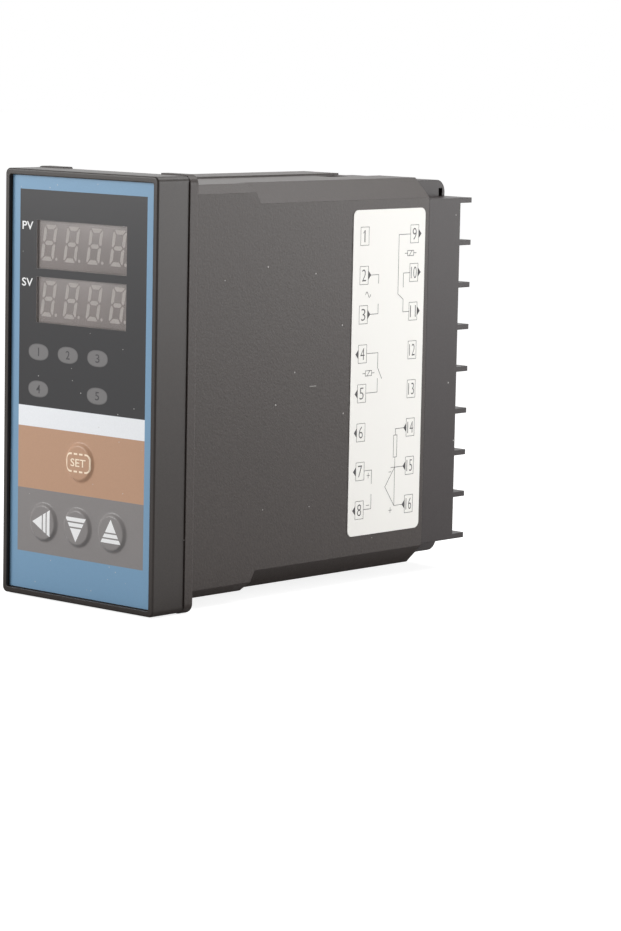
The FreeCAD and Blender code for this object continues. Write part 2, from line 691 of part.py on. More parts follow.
def build_film():
    """Printed membrane in the bezel's well, embossed with a dome over each key."""
    body = new_body("front_film")
    outline = front_sketch(body, "film_outline", "Size.film_recess")
    add_rounded_rectangle(
        outline,
        f"({rim_half_width} - Size.film_gap)",
        f"({rim_half_height} - Size.film_gap)",
        "Size.rim_inner_corner",
    )
    for key_x, key_z in KEY_PLACES.values():
        add_circle(outline, key_x, key_z, "Size.dome_radius")
    pad_back(body, "film_sheet", outline, "Size.film_thickness")
    for name, (key_x, key_z) in KEY_PLACES.items():
        add_dome(body, name, key_x, key_z)


# ---- case ----

def chamfered_outline(half_width, half_height, chamfer):
    """Eight corners of a rectangle whose corners are cut at 45 degrees."""
    short_width = f"({half_width} - {chamfer})"
    short_height = f"({half_height} - {chamfer})"
    return [
        (f"-{short_width}", f"-{half_height}"),
        (short_width, f"-{half_height}"),
        (half_width, f"-{short_height}"),
        (half_width, short_height),
        (short_width, half_height),
        (f"-{short_width}", half_height),
        (f"-{half_width}", short_height),
        (f"-{half_width}", f"-{short_height}"),
    ]


def build_case():
    """Moulded box: flange, full section behind it, long chamfers, bracket channels and board guides."""
    body = new_body("outer_case")
    tube = front_sketch(body, "tube_outline", "Size.bezel_depth")
    add_polygon(tube, chamfered_outline(case_half_width, case_half_height, "Size.case_chamfer"))
    pad_back(body, "tube", tube, f"{case_rear} - Size.bezel_depth")

    side_z = f"({case_half_height} - Size.case_chamfer)"
    slope_start = f"({flange_rear} + Size.shoulder_length)"
    slope_end = f"({slope_start} + Size.shoulder_slope)"
    shoulder = side_sketch(body, "shoulder_profile")
    add_polygon(shoulder, [
        ("Size.bezel_depth", f"-{case_half_height}"),
        (slope_start, f"-{case_half_height}"),
        (slope_end, f"-{side_z}"),
        (slope_end, side_z),
        (slope_start, case_half_height),
        ("Size.bezel_depth", case_half_height),
    ])
    pad(body, "shoulder", shoulder, f"2 * {case_half_width}", symmetric=True)

    half_width = value(case_half_width)
    half_height = value(case_half_height)

    def on_long_corner(edge):
        box = edge.BoundBox
        at_side = abs(abs(box.XMin) - half_width) < SMALL and box.XLength < SMALL
        at_top = abs(abs(box.ZMin) - half_height) < SMALL and box.ZLength < SMALL
        return at_side and at_top

    dress(body, "Chamfer", "shoulder_chamfers", on_long_corner, "Size", "Size.shoulder_chamfer")

    flange_half_width = "(Size.front_width / 2 + Size.flange_lip)"
    flange_half_height = "(Size.front_height / 2 + Size.flange_lip)"
    flange = front_sketch(body, "flange_outline", "Size.bezel_depth")
    add_rounded_rectangle(flange, flange_half_width, flange_half_height, "Size.flange_corner")
    pad_back(body, "flange", flange, "Size.flange_thickness")
    rear_depth = value(flange_rear)
    outer_width = value(flange_half_width)
    outer_height = value(flange_half_height)
    dress(
        body, "Fillet", "flange_rounding",
        lambda edge: lies_at_depth(edge, rear_depth) and reaches(edge, outer_width, outer_height),
        "Radius", "Size.flange_edge",
    )

    notches = front_sketch(body, "notch_outlines", "Size.bezel_depth")
    channels = front_sketch(body, "channel_outlines", flange_rear)
    hooks = front_sketch(body, "hook_outlines", f"{case_rear} - Size.hook_inset - Size.hook_length")
    for level in SIDES:
        channel_floor = f"{level} * ({case_half_height} - Size.channel_depth)"
        add_rectangle(
            notches, "-Size.notch_width / 2", "Size.notch_width / 2",
            f"{level} * ({flange_half_height} - Size.notch_depth)",
            f"{level} * ({flange_half_height} + Size.notch_depth)",
        )
        add_rectangle(
            channels, "-Size.channel_width / 2", "Size.channel_width / 2",
            channel_floor, f"{level} * ({case_half_height} + Size.channel_depth)",
        )
        add_rectangle(
            hooks, "-Size.hook_width / 2", "Size.hook_width / 2",
            f"{level} * ({case_half_height} - Size.channel_depth - Size.hook_depth)",
            f"{level} * ({case_half_height} + Size.channel_depth)",
        )
    pocket(body, "notches", notches, "Size.flange_thickness")
    pocket(body, "bracket_channels", channels, "Size.case_length")
    pocket(body, "hook_pockets", hooks, "Size.hook_length")

    cavity = front_sketch(body, "cavity_outline", "Size.bezel_depth")
    add_polygon(cavity, chamfered_outline(cavity_half_width, cavity_half_height, cavity_chamfer))
    pocket(body, "cavity", cavity, f"{case_inner_rear} - Size.bezel_depth")

    ribs_front = "(Size.bezel_depth + Size.rib_setback)"
    rib_end = f"({board_half_height} - Size.rib_overlap)"
    ribs = front_sketch(body, "rib_outlines", ribs_front)
    slots = front_sketch(body, "board_slot_outlines", case_inner_rear)
    for side in SIDES:
        groove_inner = f"{side} * ({board_inner} - Size.board_guide_gap)"
        groove_outer = f"{side} * ({board_outer} + Size.board_guide_gap)"
        for level in SIDES:
            low = f"{level} * {rib_end}"
            high = f"{level} * ({cavity_half_height} + Size.rib_root)"
            add_rectangle(
                ribs, f"{side} * ({board_inner} - Size.board_guide_gap - Size.rib_thickness)",
                groove_inner, low, high,
            )
            add_rectangle(
                ribs, groove_outer,
                f"{side} * ({board_outer} + Size.board_guide_gap + Size.rib_thickness)", low, high,
            )
        slot_end = f"({tongue_half_height} + Size.board_guide_gap)"
        add_rectangle(slots, groove_inner, groove_outer, f"-{slot_end}", slot_end)
    pad_back(body, "board_guides", ribs, f"{case_inner_rear} - {ribs_front}")
    pocket(body, "board_slots", slots, "Size.rear_wall")


def build_label():
    """Stuck-on wiring label on the case's right side."""
    body = new_body("wiring_label")
    outline = side_sketch(body, "label_outline", case_half_width)
    add_rounded_rectangle(
        outline, "(Size.label_length / 2)", "(Size.label_height / 2)", "Size.label_corner",
        f"({case_rear} - Size.label_inset - Size.label_length / 2)", "Size.label_rise",
    )
    pad(body, "label_sheet", outline, "Size.label_thickness")


# ---- terminals ----

def add_spine_outline(sketch):
    """Side view of the spine, with its two rear corners rounded."""
    front = value(case_rear)
    rear = value(fin_rear)
    high = value(spine_half_height)
    bend = value("Size.spine_corner")
    first = sketch.GeometryCount
    pieces = (
        Part.LineSegment(FreeCAD.Vector(front, -high, 0), FreeCAD.Vector(rear - bend, -high, 0)),
        arc_at(rear - bend, bend - high, bend, -QUARTER, 0),
        Part.LineSegment(FreeCAD.Vector(rear, bend - high, 0), FreeCAD.Vector(rear, high - bend, 0)),
        arc_at(rear - bend, high - bend, bend, 0, QUARTER),
        Part.LineSegment(FreeCAD.Vector(rear - bend, high, 0), FreeCAD.Vector(front, high, 0)),
        Part.LineSegment(FreeCAD.Vector(front, high, 0), FreeCAD.Vector(front, -high, 0)),
    )
    for piece in pieces:
        sketch.addGeometry(piece)
    bottom, low_bend, back, high_bend, top, face = range(first, first + len(pieces))
    for before, after in ((bottom, low_bend), (low_bend, back), (back, high_bend), (high_bend, top)):
        sketch.addConstraint(Sketcher.Constraint("Tangent", before, END, after, START))
    sketch.addConstraint(Sketcher.Constraint("Coincident", top, END, face, START))
    sketch.addConstraint(Sketcher.Constraint("Coincident", face, END, bottom, START))
    sketch.addConstraint(Sketcher.Constraint("Horizontal", bottom))
    sketch.addConstraint(Sketcher.Constraint("Horizontal", top))
    sketch.addConstraint(Sketcher.Constraint("Vertical", back))
    fix_point(sketch, face, START, case_rear, spine_half_height)
    fix_point(sketch, face, END, case_rear, f"-{spine_half_height}")
    bind(sketch, "DistanceX", ORIGIN, START, back, START, expression=fin_rear)
    bind(sketch, "Radius", low_bend, expression="Size.spine_corner")
    bind(sketch, "Radius", high_bend, expression="Size.spine_corner")


def build_terminal_block():
    """Rear moulding: two columns of barrier fins with a raised spine, cored from the front, between them."""
    body = new_body("terminal_block")
    base = front_sketch(body, "block_outline", case_rear)
    add_rectangle(base, f"-{case_half_width}", case_half_width, f"-{block_half_height}", block_half_height)
    pad_back(body, "block_base", base, "Size.block_depth")

    spine = side_sketch(body, "spine_profile")
    add_spine_outline(spine)
    pad(body, "spine", spine, f"2 * {spine_half_width}", symmetric=True)

    channels = front_sketch(body, "column_outlines", seat_rear)
    column_end = f"({block_half_height} - Size.fin_thickness / 2)"
    for side in SIDES:
        add_rectangle(
            channels, f"{side} * {spine_half_width}", f"{side} * {column_outer}",
            f"-{column_end}", column_end,
        )
    pocket(body, "columns", channels, "Size.block_depth - Size.column_floor")

    fins = front_sketch(body, "fin_outlines", seat_rear)
    for side, level in FINS:
        add_rectangle(
            fins, f"{side} * ({spine_half_width} - Size.fin_thickness / 2)", f"{side} * {case_half_width}",
            f"{level} - Size.fin_thickness / 2", f"{level} + Size.fin_thickness / 2",
        )
    pad_back(body, "barrier_fins", fins, f"{fin_rear} - {seat_rear}")

    wide = value(case_half_width)
    tip = value(fin_rear)

    def on_fin_corner(edge):
        box = edge.BoundBox
        at_side = abs(abs(box.XMin) - wide) < SMALL and box.XLength < SMALL
        return at_side and lies_at_depth(edge, tip)

    dress(body, "Fillet", "fin_corners", on_fin_corner, "Radius", "Size.fin_corner")

    slots = front_sketch(body, "tongue_slot_outlines", case_rear)
    legs = front_sketch(body, "leg_slot_outlines", case_rear)
    holes = front_sketch(body, "screw_hole_outlines", f"{seat_rear} - Size.screw_hole_depth")
    slot_end = f"({tongue_half_height} + Size.board_guide_gap)"
    for side in SIDES:
        add_rectangle(
            slots, f"{side} * ({board_inner} - Size.board_guide_gap)",
            f"{side} * ({board_outer} + Size.board_guide_gap)", f"-{slot_end}", slot_end,
        )
    for side, level in TERMINALS:
        add_rectangle(
            legs, f"{side} * {board_outer}", f"{side} * ({leg_outer} + Size.leg_room)",
            f"{level} - Size.leg_width / 2 - Size.leg_room",
            f"{level} + Size.leg_width / 2 + Size.leg_room",
        )
        add_circle(holes, f"{side} * {screw_x}", level, "Size.screw_radius + Size.screw_hole_room")
    pocket(body, "tongue_slots", slots, "Size.tongue_reach + Size.tongue_room")
    pocket(body, "leg_slots", legs, "Size.column_floor")
    pocket(body, "screw_holes", holes, "Size.screw_hole_depth")

    groove_rear = f"({fin_rear} - Size.groove_inset)"
    groove_front = f"({groove_rear} - Size.groove_width)"
    groove_top = f"({spine_half_height} - Size.groove_end)"
    for side, name in zip(SIDES, ("left", "right")):
        groove = side_sketch(body, f"{name}_cover_groove_outline", f"{side} * {spine_half_width}")
        add_rectangle(groove, groove_front, groove_rear, f"-{groove_top}", groove_top)
        pocket(body, f"{name}_cover_groove", groove, "Size.groove_depth", reverse=side < 0)

    cores = front_sketch(body, "spine_core_outlines", case_rear)
    core_half_width = f"({board_inner} - Size.board_guide_gap - Size.spine_wall)"
    core_pitch = f"((2 * {spine_half_height} - Size.spine_wall) / {TERMINAL_ROWS})"
    for row in range(TERMINAL_ROWS):
        core_low = f"({row} * {core_pitch} + Size.spine_wall - {spine_half_height})"
        add_rectangle(
            cores, f"-{core_half_width}", core_half_width,
            core_low, f"{core_low} + {core_pitch} - Size.spine_wall",
        )
    pocket(body, "spine_cores", cores, f"{fin_rear} - {case_rear} - Size.spine_wall")


def build_contacts():
    """Sixteen bent sheet terminals: a seat under each screw and a leg beside the board's tongue."""
    contacts = []
    seat_outer = f"({column_outer} - Size.contact_end)"
    leg_front = f"({case_rear} + Size.leg_start)"
    for index, (side, level) in enumerate(TERMINALS, start=1):
        low_seat = seat_outer if side < 0 else leg_inner
        low_leg = leg_outer if side < 0 else leg_inner
        seat = make_box(
            f"contact_seat_{index}",
            (f"{side} * {low_seat}", seat_rear, f"{level} - Size.contact_width / 2"),
            (f"{seat_outer} - {leg_inner}", "Size.contact_thickness", "Size.contact_width"),
        )
        leg = make_box(
            f"contact_leg_{index}",
            (f"{side} * {low_leg}", leg_front, f"{level} - Size.leg_width / 2"),
            (
                "Size.contact_thickness",
                f"{seat_rear} + Size.contact_thickness - {leg_front}",
                "Size.leg_width",
            ),
        )
        hole = make_rod(
            f"contact_hole_{index}", (f"{side} * {screw_x}", seat_rear, level),
            "Size.screw_radius + Size.thread_fit", "Size.contact_thickness",
        )
        sheet_metal = fuse(f"contact_sheet_{index}", [seat, leg])
        contacts.append(cut(f"contact_{index}", sheet_metal, hole))
    group("terminal_contacts", contacts)


def build_washers():
    """Square clamp washer under each screw head."""
    washers = []
    washer_front = f"({seat_rear} + Size.contact_thickness)"
    for index, (side, level) in enumerate(TERMINALS, start=1):
        plate = make_box(
            f"washer_plate_{index}",
            (f"{side} * {screw_x} - Size.washer_size / 2", washer_front, f"{level} - Size.washer_size / 2"),
            ("Size.washer_size", "Size.washer_thickness", "Size.washer_size"),
        )
        hole = make_rod(
            f"washer_hole_{index}", (f"{side} * {screw_x}", washer_front, level),
            "Size.screw_radius + Size.thread_fit", "Size.washer_thickness",
        )
        washers.append(cut(f"washer_{index}", plate, hole))
    group("clamp_washers", washers)


def build_terminal_screws():
    """Sixteen cheese-head screws with cross recesses."""
    screws = []
    head_front = f"({seat_rear} + Size.contact_thickness + Size.washer_thickness)"
    head_rear = f"({head_front} + Size.screw_head)"
    shank_front = f"({seat_rear} - Size.screw_length)"
    recess_front = f"{head_rear} - Size.recess_depth"
    for index, (side, level) in enumerate(TERMINALS, start=1):
        middle = f"{side} * {screw_x}"
        shank = make_rod(
            f"screw_shank_{index}", (middle, shank_front, level),
            "Size.screw_radius", f"{head_front} - {shank_front}",
        )
        head = make_rod(
            f"screw_head_{index}", (middle, head_front, level), "Size.screw_head_radius", "Size.screw_head",
        )
        level_slot = make_box(
            f"level_slot_{index}",
            (f"{middle} - Size.recess_length / 2", recess_front, f"{level} - Size.recess_width / 2"),
            ("Size.recess_length", "Size.recess_depth", "Size.recess_width"),
        )
        upright_slot = make_box(
            f"upright_slot_{index}",
            (f"{middle} - Size.recess_width / 2", recess_front, f"{level} - Size.recess_length / 2"),
            ("Size.recess_width", "Size.recess_depth", "Size.recess_length"),
        )
        blank = fuse(f"screw_blank_{index}", [shank, head])
        recess = fuse(f"cross_recess_{index}", [level_slot, upright_slot])
        screws.append(cut(f"terminal_screw_{index}", blank, recess))
    group("terminal_screws", screws)


# ---- boards ----

def build_display_board():
    """Front circuit board, held on the bezel's bosses."""
    body = new_body("display_board")
    outline = front_sketch(body, "display_board_outline", display_front)
    add_rectangle(
        outline, f"-{display_half_width}", display_half_width, f"-{display_half_height}", display_half_height,
    )
    for side in SIDES:
        for level in SIDES:
            add_circle(outline, f"{side} * {boss_x}", f"{level} * {boss_z}", "Size.pilot_radius")
    pad_back(body, "display_board_sheet", outline, "Size.board_thickness")


def build_board_screws():
    """Four screws that hold the display board on the bosses."""
    screws = []
    for side in SIDES:
        for level in SIDES:
            name = f"{'left' if side < 0 else 'right'}_{'lower' if level < 0 else 'upper'}"
            middle = f"{side} * {boss_x}"
            height = f"{level} * {boss_z}"
            shank = make_rod(
                f"{name}_board_screw_shank", (middle, f"{display_front} - Size.board_screw_length", height),
                "Size.board_screw_radius", "Size.board_screw_length + Size.board_thickness",
            )
            head = make_rod(
                f"{name}_board_screw_head", (middle, display_rear, height),
                "Size.board_screw_head_radius", "Size.board_screw_head",
            )
            screws.append(fuse(f"{name}_board_screw", [shank, head]))
    group("display_board_screws", screws)


def build_long_board(label, side):
    """Board that runs back to the terminals, with a narrower tongue through the case's rear wall."""
    body = new_body(label)
    profile = side_sketch(body, f"{label}_profile", f"{side} * {board_inner}")
    add_polygon(profile, [
        (display_rear, f"-{board_half_height}"),
        (board_shoulder, f"-{board_half_height}"),
        (board_shoulder, f"-{tongue_half_height}"),
        (tongue_rear, f"-{tongue_half_height}"),
        (tongue_rear, tongue_half_height),
        (board_shoulder, tongue_half_height),
        (board_shoulder, board_half_height),
        (display_rear, board_half_height),
    ])
    add_circle(profile, spacer_middle, "0", "Size.peg_radius + Size.peg_fit")
    pad(body, f"{label}_sheet", profile, "Size.board_thickness", reverse=side < 0)


def build_connectors():
    """Header strips in the corners between the display board and the long boards."""
    headers = []
    for side, name in zip(SIDES, ("left", "right")):
        low_x = f"-{board_inner}" if side < 0 else f"{board_inner} - Size.header_size"
        headers.append(make_box(
            f"{name}_header", (low_x, display_rear, "-Size.header_length / 2"),
            ("Size.header_size", "Size.header_size", "Size.header_length"),
        ))
    group("board_connectors", headers)


def build_spacer():
    """Plastic bar between the long boards, with a peg into each."""
    bar = make_box(
        "spacer_bar",
        (f"-{board_inner}", f"{spacer_middle} - Size.spacer_depth / 2", "-Size.spacer_height / 2"),
        (f"2 * {board_inner}", "Size.spacer_depth", "Size.spacer_height"),
    )
    pegs = make_rod(
        "spacer_pegs", (f"-{board_outer}", spacer_middle, "0"),
        "Size.peg_radius", f"2 * {board_outer}", turn_to_side,
    )
    one("board_spacer", fuse("spacer_with_pegs", [bar, pegs]))


def on_board(name, side, start_y, start_z, height, length, width):
    """Box that stands on a long board's inner face, from its start along Y and Z."""
    low_x = f"-{board_inner}" if side < 0 else f"{board_inner} - {height}"
    return make_box(name, (low_x, start_y, start_z), (height, length, width))


# ---- display parts ----

def build_displays():
    """Four-digit display modules, which reach through the bezel plate to just behind the film."""
    for name, display_z in (("upper_display", upper_display_z), ("lower_display", lower_display_z)):
        one(name, make_box(
            f"{name}_housing",
            (
                "Size.display_shift - Size.module_width / 2",
                module_front,
                f"{display_z} - Size.module_height / 2",
            ),
            ("Size.module_width", "Size.module_depth", "Size.module_height"),
        ))


def build_leds():
    """Round-tipped indicator LEDs on their spacers behind the indicator windows."""
    leds = []
    tip = f"({film_rear} + Size.led_setback)"
    rim_rear = f"({tip} + Size.led_length)"
    for index, (led_x, led_z) in enumerate(LED_PLACES, start=1):
        dome = doc.addObject("Part::Sphere", f"led_dome_{index}")
        dome.setExpression("Radius", "Size.led_radius")
        place(dome, (led_x, f"{tip} + Size.led_radius", led_z))
        barrel = make_rod(
            f"led_barrel_{index}", (led_x, f"{tip} + Size.led_radius", led_z),
            "Size.led_radius", f"{display_front} - {tip} - Size.led_radius",
        )
        rim = make_rod(
            f"led_rim_{index}", (led_x, f"{rim_rear} - Size.led_rim_height", led_z),
            "Size.led_radius + Size.led_rim", "Size.led_rim_height",
        )
        leds.append(fuse(f"led_{index}", [dome, barrel, rim]))
    group("indicator_leds", leds)


def build_switches():
    """Square tact switch bodies on the display board, one behind each key."""
    switches = []
    for name, (key_x, key_z) in KEY_PLACES.items():
        housing = make_box(
            f"{name}_switch_housing",
            (
                f"{key_x} - Size.switch_size / 2",
                f"{display_front} - Size.switch_depth",
                f"{key_z} - Size.switch_size / 2",
            ),
            ("Size.switch_size", "Size.switch_depth", "Size.switch_size"),
        )
        bore = make_rod(
            f"{name}_switch_bore", (key_x, f"{display_front} - Size.switch_depth", key_z),
            "Size.stem_radius + Size.stem_fit", "Size.switch_depth",
        )
        switches.append(cut(f"{name}_switch", housing, bore))
    group("tact_switch_bodies", switches)


def build_keys():
    """Sprung key stems, each from just behind its dome into its switch."""
    tip = "(Size.film_recess - Size.dome_height + Size.film_thickness + Size.stem_tip_gap)"
    stem_front = f"({tip} + Size.stem_tip_bevel)"
    for name, (key_x, key_z) in KEY_PLACES.items():
        bevel = make_cone(
            f"{name}_tip", (key_x, tip, key_z),
            "Size.stem_radius - Size.stem_tip_bevel", "Size.stem_radius", "Size.stem_tip_bevel",
        )
        stem = make_rod(
            f"{name}_stem", (key_x, stem_front, key_z),
            "Size.stem_radius", f"{display_front} - Size.stem_end_gap - {stem_front}",
        )
        one(name, fuse(f"{name}_plunger", [bevel, stem]))


# ---- power board parts ----

def build_transformer():
    """Laminated core of three limbs, with the winding round the middle one."""
    middle_y = f"({board_shoulder} - Size.transformer_inset)"
    coil_half = "(Size.core_stack / 2 + Size.coil_build)"
    middle_x = f"({coil_half} - {board_inner})"
    body = new_body("transformer_core")
    outline = side_sketch(body, "core_outline", middle_x)
    add_rectangle(
        outline, f"{middle_y} - Size.core_width / 2", f"{middle_y} + Size.core_width / 2",
        "-Size.core_height / 2", "Size.core_height / 2",
    )
    for side in SIDES:
        add_rectangle(
            outline, f"{middle_y} + {side} * Size.core_limb / 2",
            f"{middle_y} + {side} * (Size.core_limb / 2 + Size.core_window_width)",
            "-Size.core_window_height / 2", "Size.core_window_height / 2",
        )
    pad(body, "core_stack", outline, "Size.core_stack", symmetric=True)

    half_depth = "(Size.core_limb / 2 + Size.coil_build)"
    half_height = "(Size.core_window_height / 2 - Size.coil_fit)"
    winding = make_box(
        "winding", (f"{middle_x} - {coil_half}", f"{middle_y} - {half_depth}", f"-{half_height}"),
        (f"2 * {coil_half}", f"2 * {half_depth}", f"2 * {half_height}"),
    )
    limb_room = make_box(
        "limb_room",
        (
            f"{middle_x} - Size.core_stack / 2 - Size.coil_fit",
            f"{middle_y} - Size.core_limb / 2 - Size.coil_fit",
            f"-{half_height}",
        ),
        ("Size.core_stack + 2 * Size.coil_fit", "Size.core_limb + 2 * Size.coil_fit", f"2 * {half_height}"),
    )
    one("transformer_coil", cut("wound_coil", winding, limb_room))


def build_relays():
    """Output relay above the transformer, and two alarm relays below it."""
    rear_start = f"({board_shoulder} - Size.relay_inset - Size.relay_length)"
    low_start = f"(Size.relay_edge - {board_half_height})"
    high_start = f"({board_half_height} - Size.relay_edge - Size.relay_width)"
    size = ("Size.relay_height", "Size.relay_length", "Size.relay_width")
    one("output_relay", on_board("output_relay_case", -1, rear_start, high_start, *size))
    alarm_relays = [
        on_board(f"alarm_relay_{index}", -1, f"{rear_start} - {index} * Size.relay_pitch", low_start, *size)
        for index in range(2)
    ]
    group("alarm_relays", alarm_relays)


def build_capacitors():
    """Electrolytic cans and the boxed mains filter capacitor on the power board."""
    first_y = f"({display_rear} + Size.capacitor_setback)"
    cans = (
        ("rectifier_can", first_y, "Size.capacitor_pitch", "big"),
        ("supply_can", first_y, "0", "big"),
        ("regulator_can", f"({first_y} + Size.capacitor_pitch)", "0", "small"),
    )
    rods = [
        make_rod(
            name, (f"-{board_inner}", start_y, height),
            f"Size.{kind}_capacitor_radius", f"Size.{kind}_capacitor_height", turn_to_side,
        )
        for name, start_y, height, kind in cans
    ]
    group("electrolytic_capacitors", rods)
    one("filter_capacitor", on_board(
        "filter_capacitor_case", -1, f"{display_rear} + Size.filter_setback",
        f"{board_half_height} - Size.filter_edge - Size.filter_length",
        "Size.filter_height", "Size.filter_depth", "Size.filter_length",
    ))


def build_regulator():
    """Upright three-lead regulator with its cooling tab."""
    start_y = f"({display_rear} + Size.regulator_setback)"
    start_z = f"({board_half_height} - Size.regulator_edge - Size.regulator_width)"
    moulding = on_board(
        "regulator_body", -1, start_y, start_z,
        "Size.regulator_body", "Size.regulator_depth", "Size.regulator_width",
    )
    tab = on_board(
        "regulator_tab", -1, f"{start_y} + Size.regulator_depth", start_z,
        "Size.regulator_height", "Size.regulator_tab", "Size.regulator_width",
    )
    one("voltage_regulator", fuse("regulator", [moulding, tab]))


# ---- control board parts ----

def build_chips():
    """Microcontroller, amplifier and memory chips, crystal and the display driver."""
    one("microcontroller", on_board(
        "processor", 1, f"{display_rear} + Size.processor_setback", "-Size.processor_size / 2",
        "Size.processor_height", "Size.processor_size", "Size.processor_size",
    ))
    amplifiers = [
        on_board(
            f"amplifier_{name}", 1, f"{board_shoulder} - Size.amplifier_inset",
            f"{level} * Size.amplifier_rise - Size.amplifier_width / 2",
            "Size.amplifier_height", "Size.amplifier_length", "Size.amplifier_width",
        )
        for level, name in zip(SIDES, ("lower", "upper"))
    ]
    group("amplifier_chips", amplifiers)
    one("memory_chip", on_board(
        "memory", 1, f"{display_rear} + Size.memory_setback", "-Size.memory_drop",
        "Size.memory_height", "Size.memory_length", "Size.memory_width",
    ))
    one("crystal", on_board(
        "crystal_can", 1, f"{display_rear} + Size.processor_setback", "Size.crystal_rise",
        "Size.crystal_height", "Size.crystal_length", "Size.crystal_width",
    ))
    one("display_driver", make_box(
        "driver", ("-Size.driver_width / 2", display_rear, "-Size.driver_drop - Size.driver_length"),
        ("Size.driver_width", "Size.driver_height", "Size.driver_length"),
    ))


build_bezel()
build_film()
build_case()
build_label()
build_terminal_block()
build_contacts()
build_washers()
build_terminal_screws()
build_display_board()
build_board_screws()
build_long_board("power_board", -1)
build_long_board("control_board", 1)
build_connectors()
build_spacer()
build_displays()
build_leds()
build_switches()
build_keys()
build_transformer()
build_relays()
build_capacitors()
build_regulator()
build_chips()
doc.recompute()

for item in doc.Objects:
    if "Invalid" in item.State or "Error" in item.State:
        raise RuntimeError(f"{item.Label} did not recompute: {item.State}")
for item in subparts:
    if item.Shape.isNull() or not item.Shape.isValid():
        raise RuntimeError(f"{item.Label} has no valid shape")

os.makedirs("parts", exist_ok=True)
for item in subparts:
    item.Shape.exportStep(f"parts/{item.Label}.step")
    print(item.Label, len(item.Shape.Solids), round(item.Shape.Volume, 1))
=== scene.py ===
"""Looks of a panel-mounted temperature controller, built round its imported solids.

Lengths in this file are millimetres unless a name or a comment says otherwise. Frame: X across the
front, Y from the front to the terminals, Z up from the surface that the controller stands on.
"""

import math
from functools import partialmethod, reduce

import bmesh
import bpy
import numpy as np
from bpy.props import FloatProperty, FloatVectorProperty, PointerProperty
from bpy.types import Operator, Panel, PropertyGroup
from mathutils import Matrix, Vector


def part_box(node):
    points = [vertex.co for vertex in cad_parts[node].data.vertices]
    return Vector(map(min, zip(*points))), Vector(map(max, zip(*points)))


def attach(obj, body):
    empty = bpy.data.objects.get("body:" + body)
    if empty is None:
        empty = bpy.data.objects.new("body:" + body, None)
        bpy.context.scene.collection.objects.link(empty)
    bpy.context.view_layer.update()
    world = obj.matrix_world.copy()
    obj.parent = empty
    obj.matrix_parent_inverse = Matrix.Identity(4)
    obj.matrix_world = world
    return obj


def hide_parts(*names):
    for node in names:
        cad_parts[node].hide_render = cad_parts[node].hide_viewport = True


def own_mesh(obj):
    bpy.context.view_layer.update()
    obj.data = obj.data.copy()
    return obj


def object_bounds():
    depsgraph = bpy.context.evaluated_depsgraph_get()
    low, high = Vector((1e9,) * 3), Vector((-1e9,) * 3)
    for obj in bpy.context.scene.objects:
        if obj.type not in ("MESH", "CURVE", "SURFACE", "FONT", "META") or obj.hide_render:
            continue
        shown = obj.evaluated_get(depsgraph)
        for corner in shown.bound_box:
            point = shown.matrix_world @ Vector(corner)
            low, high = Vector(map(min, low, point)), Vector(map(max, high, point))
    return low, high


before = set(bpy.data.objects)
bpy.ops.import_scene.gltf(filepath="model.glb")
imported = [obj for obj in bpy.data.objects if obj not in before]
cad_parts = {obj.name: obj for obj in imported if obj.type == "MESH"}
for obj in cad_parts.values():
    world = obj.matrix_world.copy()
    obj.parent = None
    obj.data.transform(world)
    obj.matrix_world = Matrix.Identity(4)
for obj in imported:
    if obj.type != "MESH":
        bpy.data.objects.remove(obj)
CAD_LOW, CAD_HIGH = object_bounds()

bl_info = {
    "name": "Panel controller looks",
    "version": (1, 0, 0),
    "blender": (4, 5, 0),
    "location": "View3D > Sidebar > Controller",
    "description": "Printed film, displays, label, terminals and boards of a panel controller",
    "category": "Object",
}

MM = 0.001
QUARTER_TURN = math.pi / 2
FULL_TURN = 2 * math.pi
# Faces that meet at more than this angle keep a sharp edge in their shading.
SHARP = math.radians(32)


def box_mm(node):
    """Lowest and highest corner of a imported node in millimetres."""
    low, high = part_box(node)
    return np.array(low) / MM, np.array(high) / MM


def paint(red, green, blue):
    """Linear colour of a paint that is given as three display values from 0 to 255."""
    values = np.array((red, green, blue)) / 255
    linear = np.where(values <= 0.04045, values / 12.92, ((values + 0.055) / 1.055) ** 2.4)
    return tuple(float(part) for part in linear)


FILM_LOW, FILM_HIGH = box_mm("front_film")
LABEL_FACE = box_mm("wiring_label")[1][0]


def key_place(name):
    """Middle of a key across the front and up it."""
    low, high = box_mm(f"{name}_key")
    return (low[0] + high[0]) / 2, (low[2] + high[2]) / 2


KEYS = {name: key_place(name) for name in ("set", "shift", "down", "up")}
# Thickness of the print on the film and on the label.
FILM_PRINT, LABEL_PRINT = 0.02, 0.012
# Film left flat round a key dome in its own square.
DOME_MARGIN = 0.4
# Indicator fields: middle across the front, middle up it, and the plain number printed on each.
INDICATORS = ((-13.7, 55.6, "1"), (-4.3, 55.6, "2"), (5.1, 55.6, "3"), (-13.7, 47.3, "4"), (5.1, 47.3, "5"))
# Arrows: middle from the middle of the key, turn, width and height.
ARROWS = {
    "shift": (-0.35, 0.0, -QUARTER_TURN, 6.1, 5.6),
    "down": (-0.1, -0.45, math.pi, 6.5, 5.5),
    "up": (0.05, 0.45, 0.0, 6.2, 5.3),
}
DUST = paint(215, 212, 208)
FILM_DUST = paint(200, 198, 196)
WINDOW_EDGE = paint(150, 144, 140)

# Display modules: node, and how far the digits stand over the module's middle.
DISPLAYS = (("upper_display", 0.42), ("lower_display", 0.27))
DIGITS = 4
# Digits: gap between segments, depth of their face behind the film, their thickness, the points' radius.
SEGMENT_GAP = 0.27
FACE_DEPTH = 0.06
SEGMENT_PROUD = 0.03
POINT_RADIUS = 0.38
RIB_PITCH = 0.62

